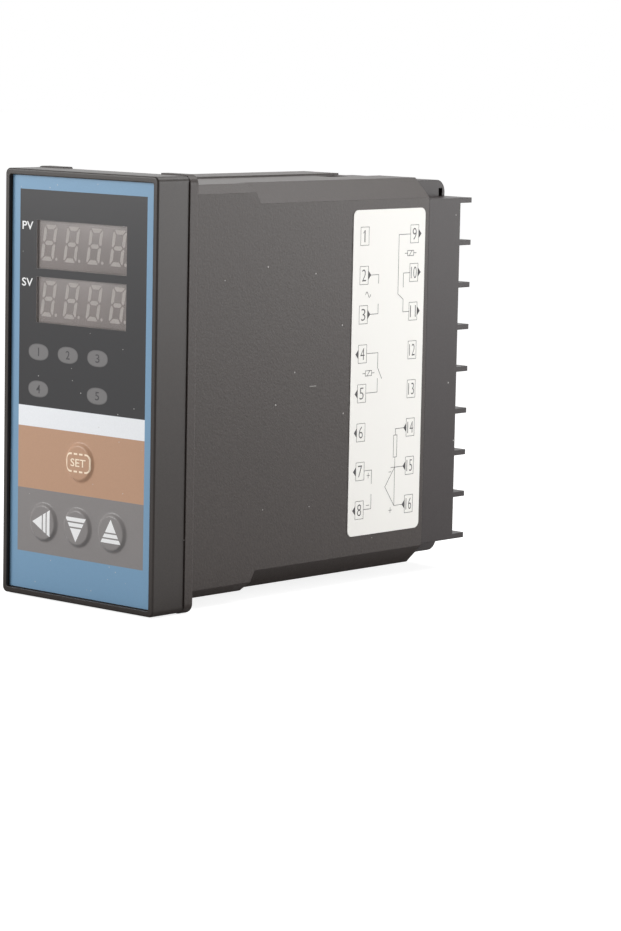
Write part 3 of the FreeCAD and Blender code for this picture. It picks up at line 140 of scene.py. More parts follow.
# Wiring label: the two columns of numbers along the case, the rows' heights and half a number's box.
LEFT_COLUMN, RIGHT_COLUMN = 15.35, 33.0
NUMBER_ROWS = (81.25, 72.2, 63.1, 54.0, 44.8, 35.7, 26.6, 17.5)
HALF_BOX = (1.45, 2.1)
NUMBER_HEIGHT = 2.75
# Numbers with an arrowhead on the right of the box, and on its left.
HEADS_RIGHT = (2, 3, 9, 10, 11)
HEADS_LEFT = (4, 5, 6, 7, 8, 14, 15, 16)
HEAD_HALF, HEAD_LENGTH = 1.1, 1.0

# Places on the power board, along it and up it, where leads of small parts are soldered.
LOOSE_JOINTS = ((-30.8, (45.8, 50.8, 58.8, 63.8)), (-17.8, (47.0, 49.6)), (-33.2, (76.6, 79.2, 81.8)))
CRYSTAL_JOINTS = [(-19.5, 62.6), (-14.7, 62.6)]
# Profile of a solder joint: radius and height over the board.
JOINT = [(0.95, 0.0), (0.9, 0.12), (0.62, 0.4), (0.4, 0.75), (0.36, 1.0), (0.2, 1.1)]
# Rounded bodies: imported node, finish, slot and radius of the edges.
BODIES = (
    ("output_relay", "relay_plastic", "relay_plastic", 0.9),
    ("alarm_relays", "relay_plastic", "relay_plastic", 0.9),
    ("filter_capacitor", "filter_case", "capacitor_case", 0.8),
    ("crystal", "can_metal", "can_metal", 1.4),
    ("microcontroller", "black_resin", "black_moulding", 0.3),
    ("amplifier_chips", "black_resin", "black_moulding", 0.25),
    ("memory_chip", "black_resin", "black_moulding", 0.3),
    ("display_driver", "black_resin", "black_moulding", 0.3),
)
# Chips with leads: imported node, pitch of the leads, and whether they stand along the ends too.
CHIPS = (("microcontroller", 0.8, True), ("amplifier_chips", 1.27, False), ("memory_chip", 2.54, False))
# Length of the regulator that is moulded, from its front to its metal tab.
REGULATOR_BODY = 3.18

# Share of the world's light that reaches the object, and the floor's own glow where it is seen.
WORLD_LEVEL = 0.32
FLOOR_GLOW = 0.85
# How far round the object the floor's glow is painted dark in the object's gloss: a painted shadow.
SHADE_REACH = 25
FLOOR_HALF, FLOOR_LEVEL = 3000, -0.02
# Lamps: name, place, point that they face, width, height and watts.
LAMPS = (
    ("front_softbox", (-290, -390, 210), (0, -50, 80), 240, 240, 1.75),
    ("top_softbox", (120, 200, 450), (0, 0, 60), 320, 320, 1.35),
    ("side_softbox", (420, 430, 125), (20, 0, 60), 500, 210, 1.9),
)
CAMERA_TARGET = (24.51, -4.2, 29.83)
CAMERA_LENS, CAMERA_SENSOR = 131.67, 36
# Nearest and farthest distance that the camera shows, in metres.
CAMERA_RANGE = (0.01, 20)


def length(name, description, default):
    return FloatProperty(name=name, description=description, default=default * MM, unit="LENGTH", precision=5)


def angle(name, description, degrees):
    return FloatProperty(name=name, description=description, default=math.radians(degrees), unit="ROTATION")


def colour(name, description, default):
    return FloatVectorProperty(
        name=name, description=description, default=default, subtype="COLOR", size=3, min=0, max=1
    )


# ---- sizes and colours that a user would change ----

class ControllerFilm(PropertyGroup):
    thickness: length("Film", "Thickness of the front film", 0.4)
    dome_radius: length("Dome radius", "Radius of a key dome", 4.65)
    dome_rise: length("Dome rise", "Rise of a key dome above the film", 0.65)
    dome_shoulder: length("Dome shoulder", "Width of the slope round a key dome", 1.1)
    window_left: length("Window left", "Left edge of the display windows", -14.5)
    window_right: length("Window right", "Right edge of the display windows", 13.8)
    upper_window_top: length("Upper window top", "Top of the upper window", 85.04)
    upper_window_bottom: length("Upper window bottom", "Bottom of the upper window", 74.36)
    lower_window_top: length("Lower window top", "Top of the lower window", 72.45)
    lower_window_bottom: length("Lower window bottom", "Bottom of the lower window", 62.3)
    print_half_width: length("Print half width", "Half width of the printed fields", 20.0)
    dark_top: length("Dark top", "Top of the dark field", 91.8)
    white_top: length("White top", "Top of the white band", 43.37)
    tan_top: length("Tan top", "Top of the tan field", 38.73)
    grey_top: length("Grey top", "Top of the grey field", 24.7)
    grey_bottom: length("Grey bottom", "Bottom of the grey field", 10.25)
    blue: colour("Blue", "Border of the film", paint(118, 155, 185))
    dark: colour("Dark", "Field round the displays", paint(32, 31, 33))
    white: colour("White", "Band under the displays", paint(238, 240, 243))
    tan: colour("Tan", "Field of the set key", paint(186, 147, 120))
    grey: colour("Grey", "Field of the arrow keys", paint(132, 128, 127))
    oval: colour("Indicator", "Indicator fields", paint(115, 113, 113))
    legend: colour("Legend", "Legends and arrows", paint(240, 240, 240))
    cream: colour("Cream", "Legend of the set key", paint(252, 232, 206))


class ControllerMouldings(PropertyGroup):
    case: colour("Case", "Outer case", paint(58, 51, 48))
    bezel: colour("Bezel", "Front bezel", paint(47, 41, 38))
    block: colour("Block", "Terminal block", paint(50, 44, 44))
    grain: length("Grain", "Size of the moulded grain", 0.5)
    label: colour("Label", "Wiring label", paint(248, 246, 241))
    ink: colour("Ink", "Print on the wiring label", paint(52, 50, 52))


class ControllerDisplays(PropertyGroup):
    face: colour("Face", "Face of a display module", paint(142, 136, 133))
    segment: colour("Segment", "Unlit segment", paint(191, 184, 179))
    digit_height: length("Digit height", "Height of a digit", 8.0)
    digit_width: length("Digit width", "Width of a digit", 4.15)
    digit_pitch: length("Digit pitch", "Digit to digit", 7.24)
    digit_shift: length("Digit shift", "Middle of the digits from the module's middle", 0.0)
    stroke: length("Stroke", "Width of a segment", 0.95)
    slant: angle("Slant", "Lean of the digits", 9.5)


class ControllerBoards(PropertyGroup):
    lacquer: colour("Lacquer", "Lacquer of the circuit boards", paint(22, 78, 50))
    track: colour("Track", "Lacquer over copper", paint(40, 112, 70))
    laminate: colour("Laminate", "Edge of the boards", paint(150, 150, 100))
    solder: colour("Solder", "Solder and tinned leads", paint(206, 206, 202))
    relay: colour("Relay", "Relay covers", paint(38, 74, 148))
    tape: colour("Tape", "Tape round the transformer coil", paint(222, 186, 84))
    sleeve: colour("Sleeve", "Sleeve of the electrolytic capacitors", paint(34, 40, 66))
    film_capacitor: colour("Filter capacitor", "Mains filter capacitor", paint(214, 170, 62))


class ControllerStage(PropertyGroup):
    azimuth: angle("Azimuth", "Camera's turn from the front", 41.98)
    elevation: angle("Elevation", "Camera's height angle", 7.348)
    roll: angle("Roll", "Camera's roll", 1.1285)
    distance: length("Distance", "Camera to the point it looks at", 774.86)
    floor: colour("Floor", "Floor and backdrop", paint(188, 188, 188))


# ---- surfaces ----

def solid_boxes(node):
    """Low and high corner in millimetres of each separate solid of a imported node."""
    copy = bmesh.new()
    copy.from_mesh(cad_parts[node].data)
    bmesh.ops.remove_doubles(copy, verts=copy.verts, dist=0.001 * MM)
    waiting = set(copy.verts)
    boxes = []
    while waiting:
        front = [waiting.pop()]
        found = []
        while front:
            corner = front.pop()
            found.append(corner.co.copy())
            linked = {edge.other_vert(corner) for edge in corner.link_edges} & waiting
            waiting -= linked
            front += linked
        found = np.array(found) / MM
        boxes.append((found.min(0), found.max(0)))
    copy.free()
    return sorted(boxes, key=lambda box: tuple(np.round(box[0], 2)))


def scene_object(name, mesh):
    made = bpy.data.objects.new(name, mesh)
    bpy.context.scene.collection.objects.link(made)
    return made


def mesh_object(name, points, faces, flat):
    """Object from an array of points in millimetres and faces with any number of corners."""
    mesh = bpy.data.meshes.new(name)
    mesh.from_pydata((points * MM).tolist(), [], faces, shade_flat=flat)
    mesh.validate()
    mesh.set_sharp_from_angle(angle=SHARP)
    return scene_object(name, mesh)


def surface(name, points, *face_arrays):
    """Smooth object from an array of points and arrays of faces."""
    return mesh_object(name, points, [face for faces in face_arrays for face in faces.tolist()], flat=False)


def turns(count):
    """Angles that share a full turn evenly."""
    return np.arange(count) / count * FULL_TURN


def quads(rows, columns, wrap=False):
    """Corner numbers of the cells of a grid of points that is stored row by row."""
    across = np.arange(columns if wrap else columns - 1)
    start = np.arange(rows - 1)[:, None] * columns
    left = start + across
    right = start + (across + 1) % columns
    return np.stack([left, right, right + columns, left + columns], axis=-1).reshape(-1, 4)


def place_on(axis, level, way):
    """Lays drawings on a plane across X or Y: a drawing's up is Z, its across is the other level axis,
    and its proud side grows the given way along the plane's own axis."""
    def to_space(across, up, proud):
        out = level + way * proud
        return np.stack([out, across, up] if axis == "X" else [across, out, up], axis=-1)
    return to_space


def tiles(name, outlines, to_space, thickness):
    """Flat tiles of one thickness: each outline of a set is carried out from its plane to a second
    outline, the two are filled, and the strips between them close the edge."""
    outlines = np.asarray(outlines, float)
    count, corners = outlines.shape[:2]
    across, up = outlines[..., 0].ravel(), outlines[..., 1].ravel()
    points = np.concatenate([to_space(across, up, np.full_like(across, out)) for out in (0, thickness)])
    base = np.arange(count)[:, None] * corners
    ring = base + np.arange(corners)
    following = base + (np.arange(corners) + 1) % corners
    shift = count * corners
    walls = np.stack([ring, following, following + shift, ring + shift], axis=-1).reshape(-1, 4)
    return surface(name, points, ring[:, ::-1], ring + shift, walls)


def strokes(lines, width):
    """Outlines of straight strokes: each line's ends are moved half the width along it and to both
    sides of it, so that strokes that meet at a corner close it."""
    lines = np.asarray(lines, float)
    start, end = lines[:, 0], lines[:, 1]
    along = end - start
    along *= width / 2 / np.linalg.norm(along, axis=1, keepdims=True)
    aside = np.stack([-along[:, 1], along[:, 0]], axis=-1)
    start, end = start - along, end + along
    return np.stack([start - aside, end - aside, end + aside, start + aside], axis=1)


def lettering(name, items, to_space, thickness, weight=0.0):
    """Plain lettering as one mesh: each word is drawn at a weight, made a mesh, stretched about its middle
    to its height and to its width, or to its own proportions where the width is none, and laid on its
    plane."""
    points, faces = [], []
    total = 0
    for word, across, up, width, height in items:
        curve = bpy.data.curves.new("word", "FONT")
        curve.body = word
        curve.resolution_u = 3
        curve.extrude = 0.5
        curve.offset = weight
        drawn = bpy.data.objects.new("word", curve)
        mesh = bpy.data.meshes.new_from_object(drawn)
        local = np.array([corner.co for corner in mesh.vertices], float)
        low, high = local.min(0), local.max(0)
        share = (local - (low + high) / 2) / (high - low)
        width = width or height * (high[0] - low[0]) / (high[1] - low[1])
        points.append(to_space(
            across + share[:, 0] * width, up + share[:, 1] * height, (share[:, 2] + 0.5) * thickness
        ))
        faces += [tuple(corner + total for corner in face.vertices) for face in mesh.polygons]
        total += len(local)
        bpy.data.objects.remove(drawn)
        bpy.data.curves.remove(curve)
        bpy.data.meshes.remove(mesh)
    return mesh_object(name, np.concatenate(points), faces, flat=True)


def pierced_sheet(name, across, up, holes, front, rear):
    """Sheet with rectangular holes: the grid of the given lines across and up is laid at the front and
    at the rear depth, cells inside a hole are left out, and a strip closes each open edge."""
    across, up = np.unique(across), np.unique(up)
    middle_x = (across[1:] + across[:-1]) / 2
    middle_z = (up[1:] + up[:-1]) / 2
    kept = np.ones((len(middle_z), len(middle_x)), bool)
    for left, right, bottom, top in holes:
        inside_x = (middle_x > left) & (middle_x < right)
        inside_z = (middle_z > bottom) & (middle_z < top)
        kept &= ~(inside_z[:, None] & inside_x[None, :])
    grid_x, grid_z = (grid.ravel() for grid in np.meshgrid(across, up))
    count = len(grid_x)
    points = np.concatenate([
        np.stack([grid_x, np.full(count, depth), grid_z], axis=-1) for depth in (front, rear)
    ])
    cells = quads(len(up), len(across))
    face = cells[kept.ravel()]
    padded = np.pad(kept, 1)
    neighbours = (padded[:-2, 1:-1], padded[1:-1, 2:], padded[2:, 1:-1], padded[1:-1, :-2])
    walls = []
    for side, neighbour in enumerate(neighbours):
        open_side = cells[(kept & ~neighbour).ravel()]
        start, end = open_side[:, side], open_side[:, (side + 1) % 4]
        walls.append(np.stack([end, start, start + count, end + count], axis=-1))
    faces = np.concatenate([face, face[:, ::-1] + count, *walls])
    used, numbered = np.unique(faces, return_inverse=True)
    return surface(name, points[used], numbered.reshape(faces.shape))


def dome_height(radius, film):
    """Rise of a key dome in millimetres: a half wave over the shoulder, then almost flat, with a tenth
    of the rise left as a shallow bowl turned over."""
    edge, rise, shoulder = film.dome_radius / MM, film.dome_rise / MM, film.dome_shoulder / MM
    share = np.clip((edge - radius) / shoulder, 0, 1)
    crown = 1 - np.clip(radius / edge, 0, 1) ** 2
    return rise * (0.9 * (0.5 - 0.5 * np.cos(math.pi * share)) + 0.1 * crown)


def key_patch(name, centre, half_side, film, face):
    """Square piece of film with a key dome: rings of points grow from the middle to the dome's edge,
    and a last ring lies on the square. The same surface moved back by the film's thickness closes it."""
    radius, thickness = film.dome_radius / MM, film.thickness / MM
    angles = turns(96)
    turn = len(angles)
    direction = np.stack([np.cos(angles), np.sin(angles)], axis=-1)
    shares = np.concatenate([np.linspace(0.1, 0.7, 7), np.linspace(0.74, 1, 18)])
    rings = [direction * radius * share for share in shares]
    rings.append(direction * half_side / np.abs(direction).max(axis=1, keepdims=True))
    flat = np.concatenate([np.zeros((1, 2)), *rings])
    depth = face - dome_height(np.linalg.norm(flat, axis=1), film)
    front = np.stack([centre[0] + flat[:, 0], depth, centre[1] + flat[:, 1]], axis=-1)
    rear = front + np.array((0, thickness, 0))
    count = len(flat)
    following = (np.arange(turn) + 1) % turn
    fan = np.stack([np.zeros(turn, int), 1 + np.arange(turn), 1 + following], axis=-1)
    bands = quads(len(rings), turn, wrap=True)[:, ::-1] + 1
    rim, next_rim = count - turn + np.arange(turn), count - turn + following
    wall = np.stack([rim, rim + count, next_rim + count, next_rim], axis=-1)
    return surface(
        name, np.concatenate([front, rear]), fan, fan[:, ::-1] + count, bands, bands[:, ::-1] + count, wall,
    )


def rounded_boxes(name, boxes, radius, steps=4):
    """Boxes with every edge and corner rounded: each face of a box is a grid with its lines gathered
    near the edges. A point is drawn back to the box shrunk by the radius, and put one radius away from
    there along the way that it was drawn back."""
    bend = radius * np.linspace(0, 1, steps + 1)
    points, faces = [], []
    total = 0
    for low, high in np.asarray(boxes, float):
        lines = [np.unique(np.round([*(low[axis] + bend), *(high[axis] - bend)], 6)) for axis in range(3)]
        for axis in range(3):
            first, second = (axis + 1) % 3, (axis + 2) % 3
            grids = np.meshgrid(lines[first], lines[second], indexing="ij")
            for side, level in enumerate((low, high)):
                flat = np.full((grids[0].size, 3), level[axis])
                flat[:, first], flat[:, second] = (grid.ravel() for grid in grids)
                drawn = np.clip(flat, low + radius, high - radius)
                away = flat - drawn
                points.append(drawn + radius * away / np.linalg.norm(away, axis=1, keepdims=True))
                cells = quads(len(lines[first]), len(lines[second])) + total
                faces.append(cells if side == 0 else cells[:, ::-1])
                total += len(flat)
    merged, numbered = np.unique(np.round(np.concatenate(points), 5), axis=0, return_inverse=True)
    return surface(name, merged, numbered.ravel()[np.concatenate(faces)])


def turned(name, profile, centres, to_space, sides=32):
    """Turned bodies: a profile of radius and height is carried round an axis at each centre."""
    profile = np.asarray(profile, float)
    across = profile[:, :1] * np.cos(turns(sides))
    up = profile[:, :1] * np.sin(turns(sides))
    out = np.repeat(profile[:, 1:], sides, axis=1)
    count = across.size
    cells = quads(len(profile), sides, wrap=True)
    ends = np.stack([np.arange(sides)[::-1], count - sides + np.arange(sides)])
    points = [to_space((across + x).ravel(), (up + z).ravel(), out.ravel()) for x, z in centres]
    shifts = [index * count for index in range(len(centres))]
    faces = [np.concatenate([grid + shift for shift in shifts]) for grid in (cells, ends)]
    return surface(name, np.concatenate(points), *faces)


# ---- shader nodes ----

def fill(node, inputs):
    """Links and values for a node's inputs."""
    for key, content in inputs.items():
        socket = node.inputs[key]
        if isinstance(content, Signal):
            node.id_data.links.new(content.socket, socket)
        else:
            socket.default_value = (*content, 1) if socket.type == "RGBA" else content


def add(tree, kind, inputs=(), **settings):
    """New node with its settings and inputs; returns its outputs by name and by place."""
    node = tree.nodes.new(f"ShaderNode{kind}")
    for key, setting in settings.items():
        setattr(node, key, setting)
    fill(node, dict(inputs))
    return {key: Signal(socket) for place, socket in enumerate(node.outputs) for key in (socket.name, place)}


class Signal:
    """Output of a shader node. Python's signs between it and an output or a number add Math nodes."""

    def __init__(self, socket):
        self.socket = socket
        self.tree = socket.id_data

    def apply(self, operation, second=0.0, third=0.0):
        return add(self.tree, "Math", {0: self, 1: second, 2: third}, operation=operation)[0]

    def __rsub__(self, number):
        return add(self.tree, "Math", {0: number, 1: self}, operation="SUBTRACT")[0]

    __add__ = partialmethod(apply, "ADD")
    __sub__ = partialmethod(apply, "SUBTRACT")
    __mul__ = partialmethod(apply, "MULTIPLY")
    __truediv__ = partialmethod(apply, "DIVIDE")
    __pow__ = partialmethod(apply, "POWER")
    __lt__ = partialmethod(apply, "LESS_THAN")
    __gt__ = partialmethod(apply, "GREATER_THAN")
    __abs__ = partialmethod(apply, "ABSOLUTE")
    lowest = partialmethod(apply, "MINIMUM")
    highest = partialmethod(apply, "MAXIMUM")
    times_plus = partialmethod(apply, "MULTIPLY_ADD")

    def vector(self, operation, second=0.0):
        """Result of a Vector Math node with another output or with one number for all three parts."""
        second = second if isinstance(second, Signal) else (second, second, second)
        return add(self.tree, "VectorMath", {0: self, 1: second}, operation=operation)[0]

    def split(self):
        """The three parts of a vector."""
        parts = add(self.tree, "SeparateXYZ", {0: self})
        return parts["X"], parts["Y"], parts["Z"]


def mix(share, first, second):
    """Blend of two colours by a mask."""
    return add(share.tree, "Mix", {0: share, 6: first, 7: second}, data_type="RGBA")[2]


def shaded(tone, shade):
    """Colour times a shade that is about one."""
    inputs = {0: 1.0, 6: tone, 7: shade}
    return add(shade.tree, "Mix", inputs, data_type="RGBA", blend_type="MULTIPLY")[2]


def soft_mask(distance, soft):
    """One where the distance is below zero, else zero, with a soft edge."""
    return add(distance.tree, "Math", {0: 0.5, 1: distance / soft}, operation="SUBTRACT", use_clamp=True)[0]


def printed_field(
    *, vector=None, centre_x=0.0, centre_z=0.0, half_width=1.0, half_height=1.0, corner=0.0, soft=0.05
):
    """Mask of a rounded rectangle on the front: the distance to its edge is the length of what is left
    of the offset from its middle past the straight part, less the corner radius."""
    x, _, z = vector.split()
    past_x = abs(x - centre_x) - (half_width - corner)
    past_z = abs(z - centre_z) - (half_height - corner)
    outside_x, outside_z = past_x.highest(0.0), past_z.highest(0.0)
    outer = (outside_x * outside_x + outside_z * outside_z).apply("SQRT")
    return {"Mask": soft_mask(outer + past_x.highest(past_z).lowest(0.0) - corner, soft)}


def printed_oval(*, vector=None, centre_x=0.0, centre_z=0.0, half_width=1.0, half_height=1.0, soft=0.1):
    """Mask of an oval: the two offsets from its middle, each over its half size, are raised to a power
    and added, so that the sum is one on the edge."""
    power = 2.3
    x, _, z = vector.split()
    across = (abs(x - centre_x) / half_width) ** power
    up = (abs(z - centre_z) / half_height) ** power
    return {"Mask": soft_mask(across + up - 1.0, soft)}


def circuit_tracks(*, vector=None, pitch=0.00127):
    """Copper tracks and pads of a circuit board: the board is cut into square patches. A patch's own
    random number makes it stripes across, stripes up or plain copper with a gap round it, and a
    smaller grid's random number gives some of its cells a round pad."""
    unit = vector.vector("DIVIDE", pitch)
    patch_size, pad_size = 7.0, 2.0

    def cell_noise(size, shift):
        place = unit.vector("DIVIDE", size).vector("FLOOR").vector("ADD", shift)
        return add(unit.tree, "TexWhiteNoise", {"Vector": place}, noise_dimensions="2D")["Value"]

    def offset_in_cell(size):
        """Distance from the middle of a cell in each direction, in cells."""
        return unit.vector("DIVIDE", size).vector("FRACTION").vector("SUBTRACT", 0.5).split()[:2]

    fine_x, fine_y = offset_in_cell(1.0)
    patch_x, patch_y = offset_in_cell(patch_size)
    pad_x, pad_y = offset_in_cell(pad_size)
    choice = cell_noise(patch_size, 3.5)
    is_up, is_plain = choice < 0.3, choice > 0.72
    is_across = 1.0 - is_up - is_plain
    inside = abs(patch_x).highest(abs(patch_y)) < 0.46
    track = is_up * (abs(fine_x) < 0.2) + is_across * (abs(fine_y) < 0.2) + is_plain * inside
    away = (pad_x * pad_x + pad_y * pad_y).apply("SQRT")
    chosen = cell_noise(pad_size, 11.5) < 0.13
    return {"Track": track * (1.0 - chosen * (away < 0.42)), "Pad": chosen * (away < 0.3)}


def split_arrow(*, vector=None, centre_x=0.0, centre_z=0.0, turn=0.0, width=6.0, height=5.6):
    """Mask of a triangle split by two gaps: measured from its tip, the half width grows with the
    distance, and two bands of that distance are left out."""
    x, _, z = vector.split()
    over, up = x - centre_x, z - centre_z
    cosine, sine = turn.apply("COSINE"), turn.apply("SINE")
    aside = over * cosine - up * sine
    along = over * sine + up * cosine
    from_tip = (height * 0.5 - along) / height
    mask = (abs(aside) < width * 0.5 * from_tip) * (from_tip < 1.0)
    for middle in (0.585, 0.805):
        mask = mask * (abs(from_tip - middle) > 0.03)
    return {"Mask": mask}


def moulded_grain(*, vector=None, grain_scale=2000.0, shade_range=0.1):
    """Fine moulded grain: two sizes of noise added, as a height and as a shade about one."""
    fine = {"Vector": vector, "Scale": grain_scale, "Detail": 2.0, "Roughness": 0.6}
    broad = {"Vector": vector, "Scale": 40.0, "Detail": 2.0}
    fine_height, broad_height = (add(vector.tree, "TexNoise", noise)["Fac"] for noise in (fine, broad))
    height = broad_height.times_plus(0.15, fine_height)
    return {"Height": height, "Shade": (height - 0.575).times_plus(shade_range, 1.0)}


def dust_specks(*, vector=None, cell_scale=180.0, share=0.14, speck=0.035):
    """Few small light specks: a cell's middle, where the cell's own random number is low enough."""
    cells = add(vector.tree, "TexVoronoi", {"Vector": vector, "Scale": cell_scale})
    return {"Mask": (cells["Distance"] < speck) * (cells["Color"].split()[0] < share)}


SHADER_GROUPS = (printed_field, printed_oval, circuit_tracks, split_arrow, moulded_grain, dust_specks)


def socket_name(argument):
    return argument.replace("_", " ").title()


def make_group(formula):
    """Shader group of a formula: its arguments are the group's inputs, and it returns the outputs."""
    tree = bpy.data.node_groups.new(formula.__name__, "ShaderNodeTree")
    for argument, default in formula.__kwdefaults__.items():
        kind = "NodeSocketVector" if default is None else "NodeSocketFloat"
        socket = tree.interface.new_socket(socket_name(argument), in_out="INPUT", socket_type=kind)
        if default is not None:
            socket.default_value = default
    start = tree.nodes.new("NodeGroupInput")
    given = {argument: Signal(start.outputs[socket_name(argument)]) for argument in formula.__kwdefaults__}
    results = formula(**given)
    for name in results:
        tree.interface.new_socket(name, in_out="OUTPUT", socket_type="NodeSocketFloat")
    fill(tree.nodes.new("NodeGroupOutput"), results)


class Finish:
    """Principled material in the making, with the position on the object."""

    def __init__(self, name):
        self.material = bpy.data.materials.new(name)
        self.material.use_nodes = True
        self.tree = self.material.node_tree
        self.position = add(self.tree, "TexCoord")["Object"]

    def use(self, formula, **inputs):
        """Outputs of a shader group that is placed in the material."""
        named = {socket_name(key): content for key, content in {"vector": self.position, **inputs}.items()}
        return add(self.tree, "Group", named, node_tree=bpy.data.node_groups[formula.__name__])

    def grain(self, scale, shade_range):
        """Height and shade of the moulded grain."""
        grain = self.use(moulded_grain, grain_scale=scale, shade_range=shade_range)
        return grain["Height"], grain["Shade"]

    def done(self, inputs, height=None, strength=0.0, depth=0.0, edge=0.0):
        """The material with its shader's inputs. A height gives it a bump, over edges softened to a
        small radius where one is given."""
        if height is not None:
            bump = {"Height": height, "Strength": strength, "Distance": depth * MM}
            if edge:
                bump["Normal"] = add(self.tree, "Bevel", {"Radius": edge * MM}, samples=4)[0]
            inputs["Normal"] = add(self.tree, "Bump", bump)[0]
        fill(self.tree.nodes["Principled BSDF"], inputs)
        return self.material


def in_metres(**lengths):
    """Lengths given in millimetres as the metres that shaders measure."""
    return {name: size * MM for name, size in lengths.items()}


def moulding_material(name, tone, grain_size, roughness, gloss, depth, dust_share, scuff=None):
    """Moulded plastic: grain in height and shade, softened edges, a few specks of dust and, where a
    place is given for it, one short pale scuff on the side that faces +X."""
    finish = Finish(name)
    height, shade = finish.grain(1 / (grain_size * MM), shade_range=0.7)
    specks = finish.use(dust_specks, share=dust_share)["Mask"] * 0.55
    if scuff:
        # The scuff's across is Y, so the vector is turned to bring Y to X.
        turn = {"Vector": finish.position, "Rotation": (0, 0, -QUARTER_TURN)}
        mark = finish.use(printed_field, vector=add(finish.tree, "Mapping", turn)[0], **in_metres(
            centre_x=scuff[0], centre_z=scuff[1], half_width=1.1, half_height=0.1, corner=0.1, soft=0.15,
        ))["Mask"]
        specks = specks.highest(mark * (finish.position.split()[0] > 0.0) * 0.4)
    return finish.done({
        "Base Color": mix(specks, shaded(tone, shade), DUST),
        "Roughness": height.times_plus(0.12, roughness - 0.06),
        "Specular IOR Level": gloss,
    }, height, strength=0.7, depth=depth, edge=0.25)


def plain_material(
    name, tone, roughness, metallic=0.0, grain_size=0.6, shade_range=0.15, depth=0.01, edge=0.1
):
    """Small part's finish: one colour with a faint grain and soft edges."""
    finish = Finish(name)
    height, shade = finish.grain(1 / (grain_size * MM), shade_range)
    inputs = {"Base Color": shaded(tone, shade), "Roughness": roughness, "Metallic": metallic}
    return finish.done(inputs, height, strength=0.3, depth=depth, edge=edge)


def plain_metal(name, tone, roughness, shade_range):
    return plain_material(name, tone, roughness, metallic=1.0, shade_range=shade_range)


def window_edges(film):
    """Left, right, bottom and top edge of the two display windows in millimetres."""
    heights = (
        (film.upper_window_bottom, film.upper_window_top), (film.lower_window_bottom, film.lower_window_top)
    )
    return [(film.window_left / MM, film.window_right / MM, bottom / MM, top / MM) for bottom, top in heights]


def film_material(film):
    """Printed film: fields of colour by place on the front, arrows and a dashed ring on the domes."""
    finish = Finish("printed_film")

    def field(left, right, bottom, top, corner=0.0, soft=0.04):
        return finish.use(printed_field, **in_metres(
            centre_x=(left + right) / 2, centre_z=(top + bottom) / 2, half_width=(right - left) / 2,
            half_height=(top - bottom) / 2, corner=corner, soft=soft,
        ))["Mask"]

    half = film.print_half_width / MM
    ink = film.blue
    for tone, top, bottom in (
        (film.dark, film.dark_top, film.white_top), (film.white, film.white_top, film.tan_top),
        (film.tan, film.tan_top, film.grey_top), (film.grey, film.grey_top, film.grey_bottom),
    ):
        ink = mix(field(-half, half, bottom / MM, top / MM), ink, tone)
    for across, up, _ in INDICATORS:
        for half_width, half_height, shade in ((3.2, 1.85, 0.75), (3.0, 1.65, 1.0)):
            oval = finish.use(printed_oval, soft=0.12, **in_metres(
                centre_x=across, centre_z=up, half_width=half_width, half_height=half_height,
            ))["Mask"]
            ink = mix(oval, ink, [part * shade for part in film.oval])
    # The cut edges round the windows take the colour of the display faces behind them.
    over = 0.03
    for left, right, bottom, top in window_edges(film):
        ink = mix(field(left - over, right + over, bottom - over, top + over, soft=0.01), ink, WINDOW_EDGE)
    for name, (aside, over, turn, width, height) in ARROWS.items():
        across, up = KEYS[name]
        arrow = finish.use(split_arrow, turn=turn, **in_metres(
            centre_x=across + aside, centre_z=up + over, width=width, height=height,
        ))["Mask"]
        ink = mix(arrow, ink, film.legend)

    # Ring round the set legend: it is drawn at its two ends and in two dashes above and below.
    across, up = KEYS["set"]
    outer, inner = (
        field(across - wide, across + wide, up - high, up + high, corner)
        for wide, high, corner in ((3.87, 2.17, 1.45), (3.47, 1.77, 1.05))
    )
    aside = abs(finish.position.split()[0])
    dash = abs(aside - 0.85 * MM) < 0.55 * MM
    ring = (outer - inner) * dash.highest(aside > 2.0 * MM)
    ink = mix(ring, ink, film.cream)
    dust = finish.use(dust_specks, cell_scale=300.0, share=1.0, speck=0.045)["Mask"]
    ink = mix(dust * 0.6, ink, FILM_DUST)
    height, shade = finish.grain(1 / (0.35 * MM), shade_range=0.1)
    inputs = {"Base Color": shaded(ink, shade), "Roughness": 0.34, "Specular IOR Level": 0.3}
    return finish.done(inputs, height, strength=0.15, depth=0.01)


def window_material():
    """Clear, slightly smoked window."""
    finish = Finish("clear_window")
    height, _ = finish.grain(2500.0, shade_range=0.1)
    inputs = {"Base Color": paint(120, 114, 112), "Roughness": 0.12, "Alpha": 0.12}
    return finish.done(inputs, height, strength=0.1, depth=0.005)


def display_material(look):
    """Display face with fine upright ribs and broad faint stains."""
    finish = Finish("display_face")
    rib = (finish.position.split()[0] * (FULL_TURN / (RIB_PITCH * MM))).apply("SINE")
    stain = add(finish.tree, "TexNoise", {"Vector": finish.position, "Scale": 160.0, "Detail": 2.0})["Fac"]
    shade = stain.times_plus(0.14, rib.times_plus(0.035, 0.93))
    tint = mix(stain * 0.6, look.face, paint(144, 130, 127))
    inputs = {"Base Color": shaded(tint, shade), "Roughness": 0.38}
    return finish.done(inputs, rib, strength=0.2, depth=0.02)


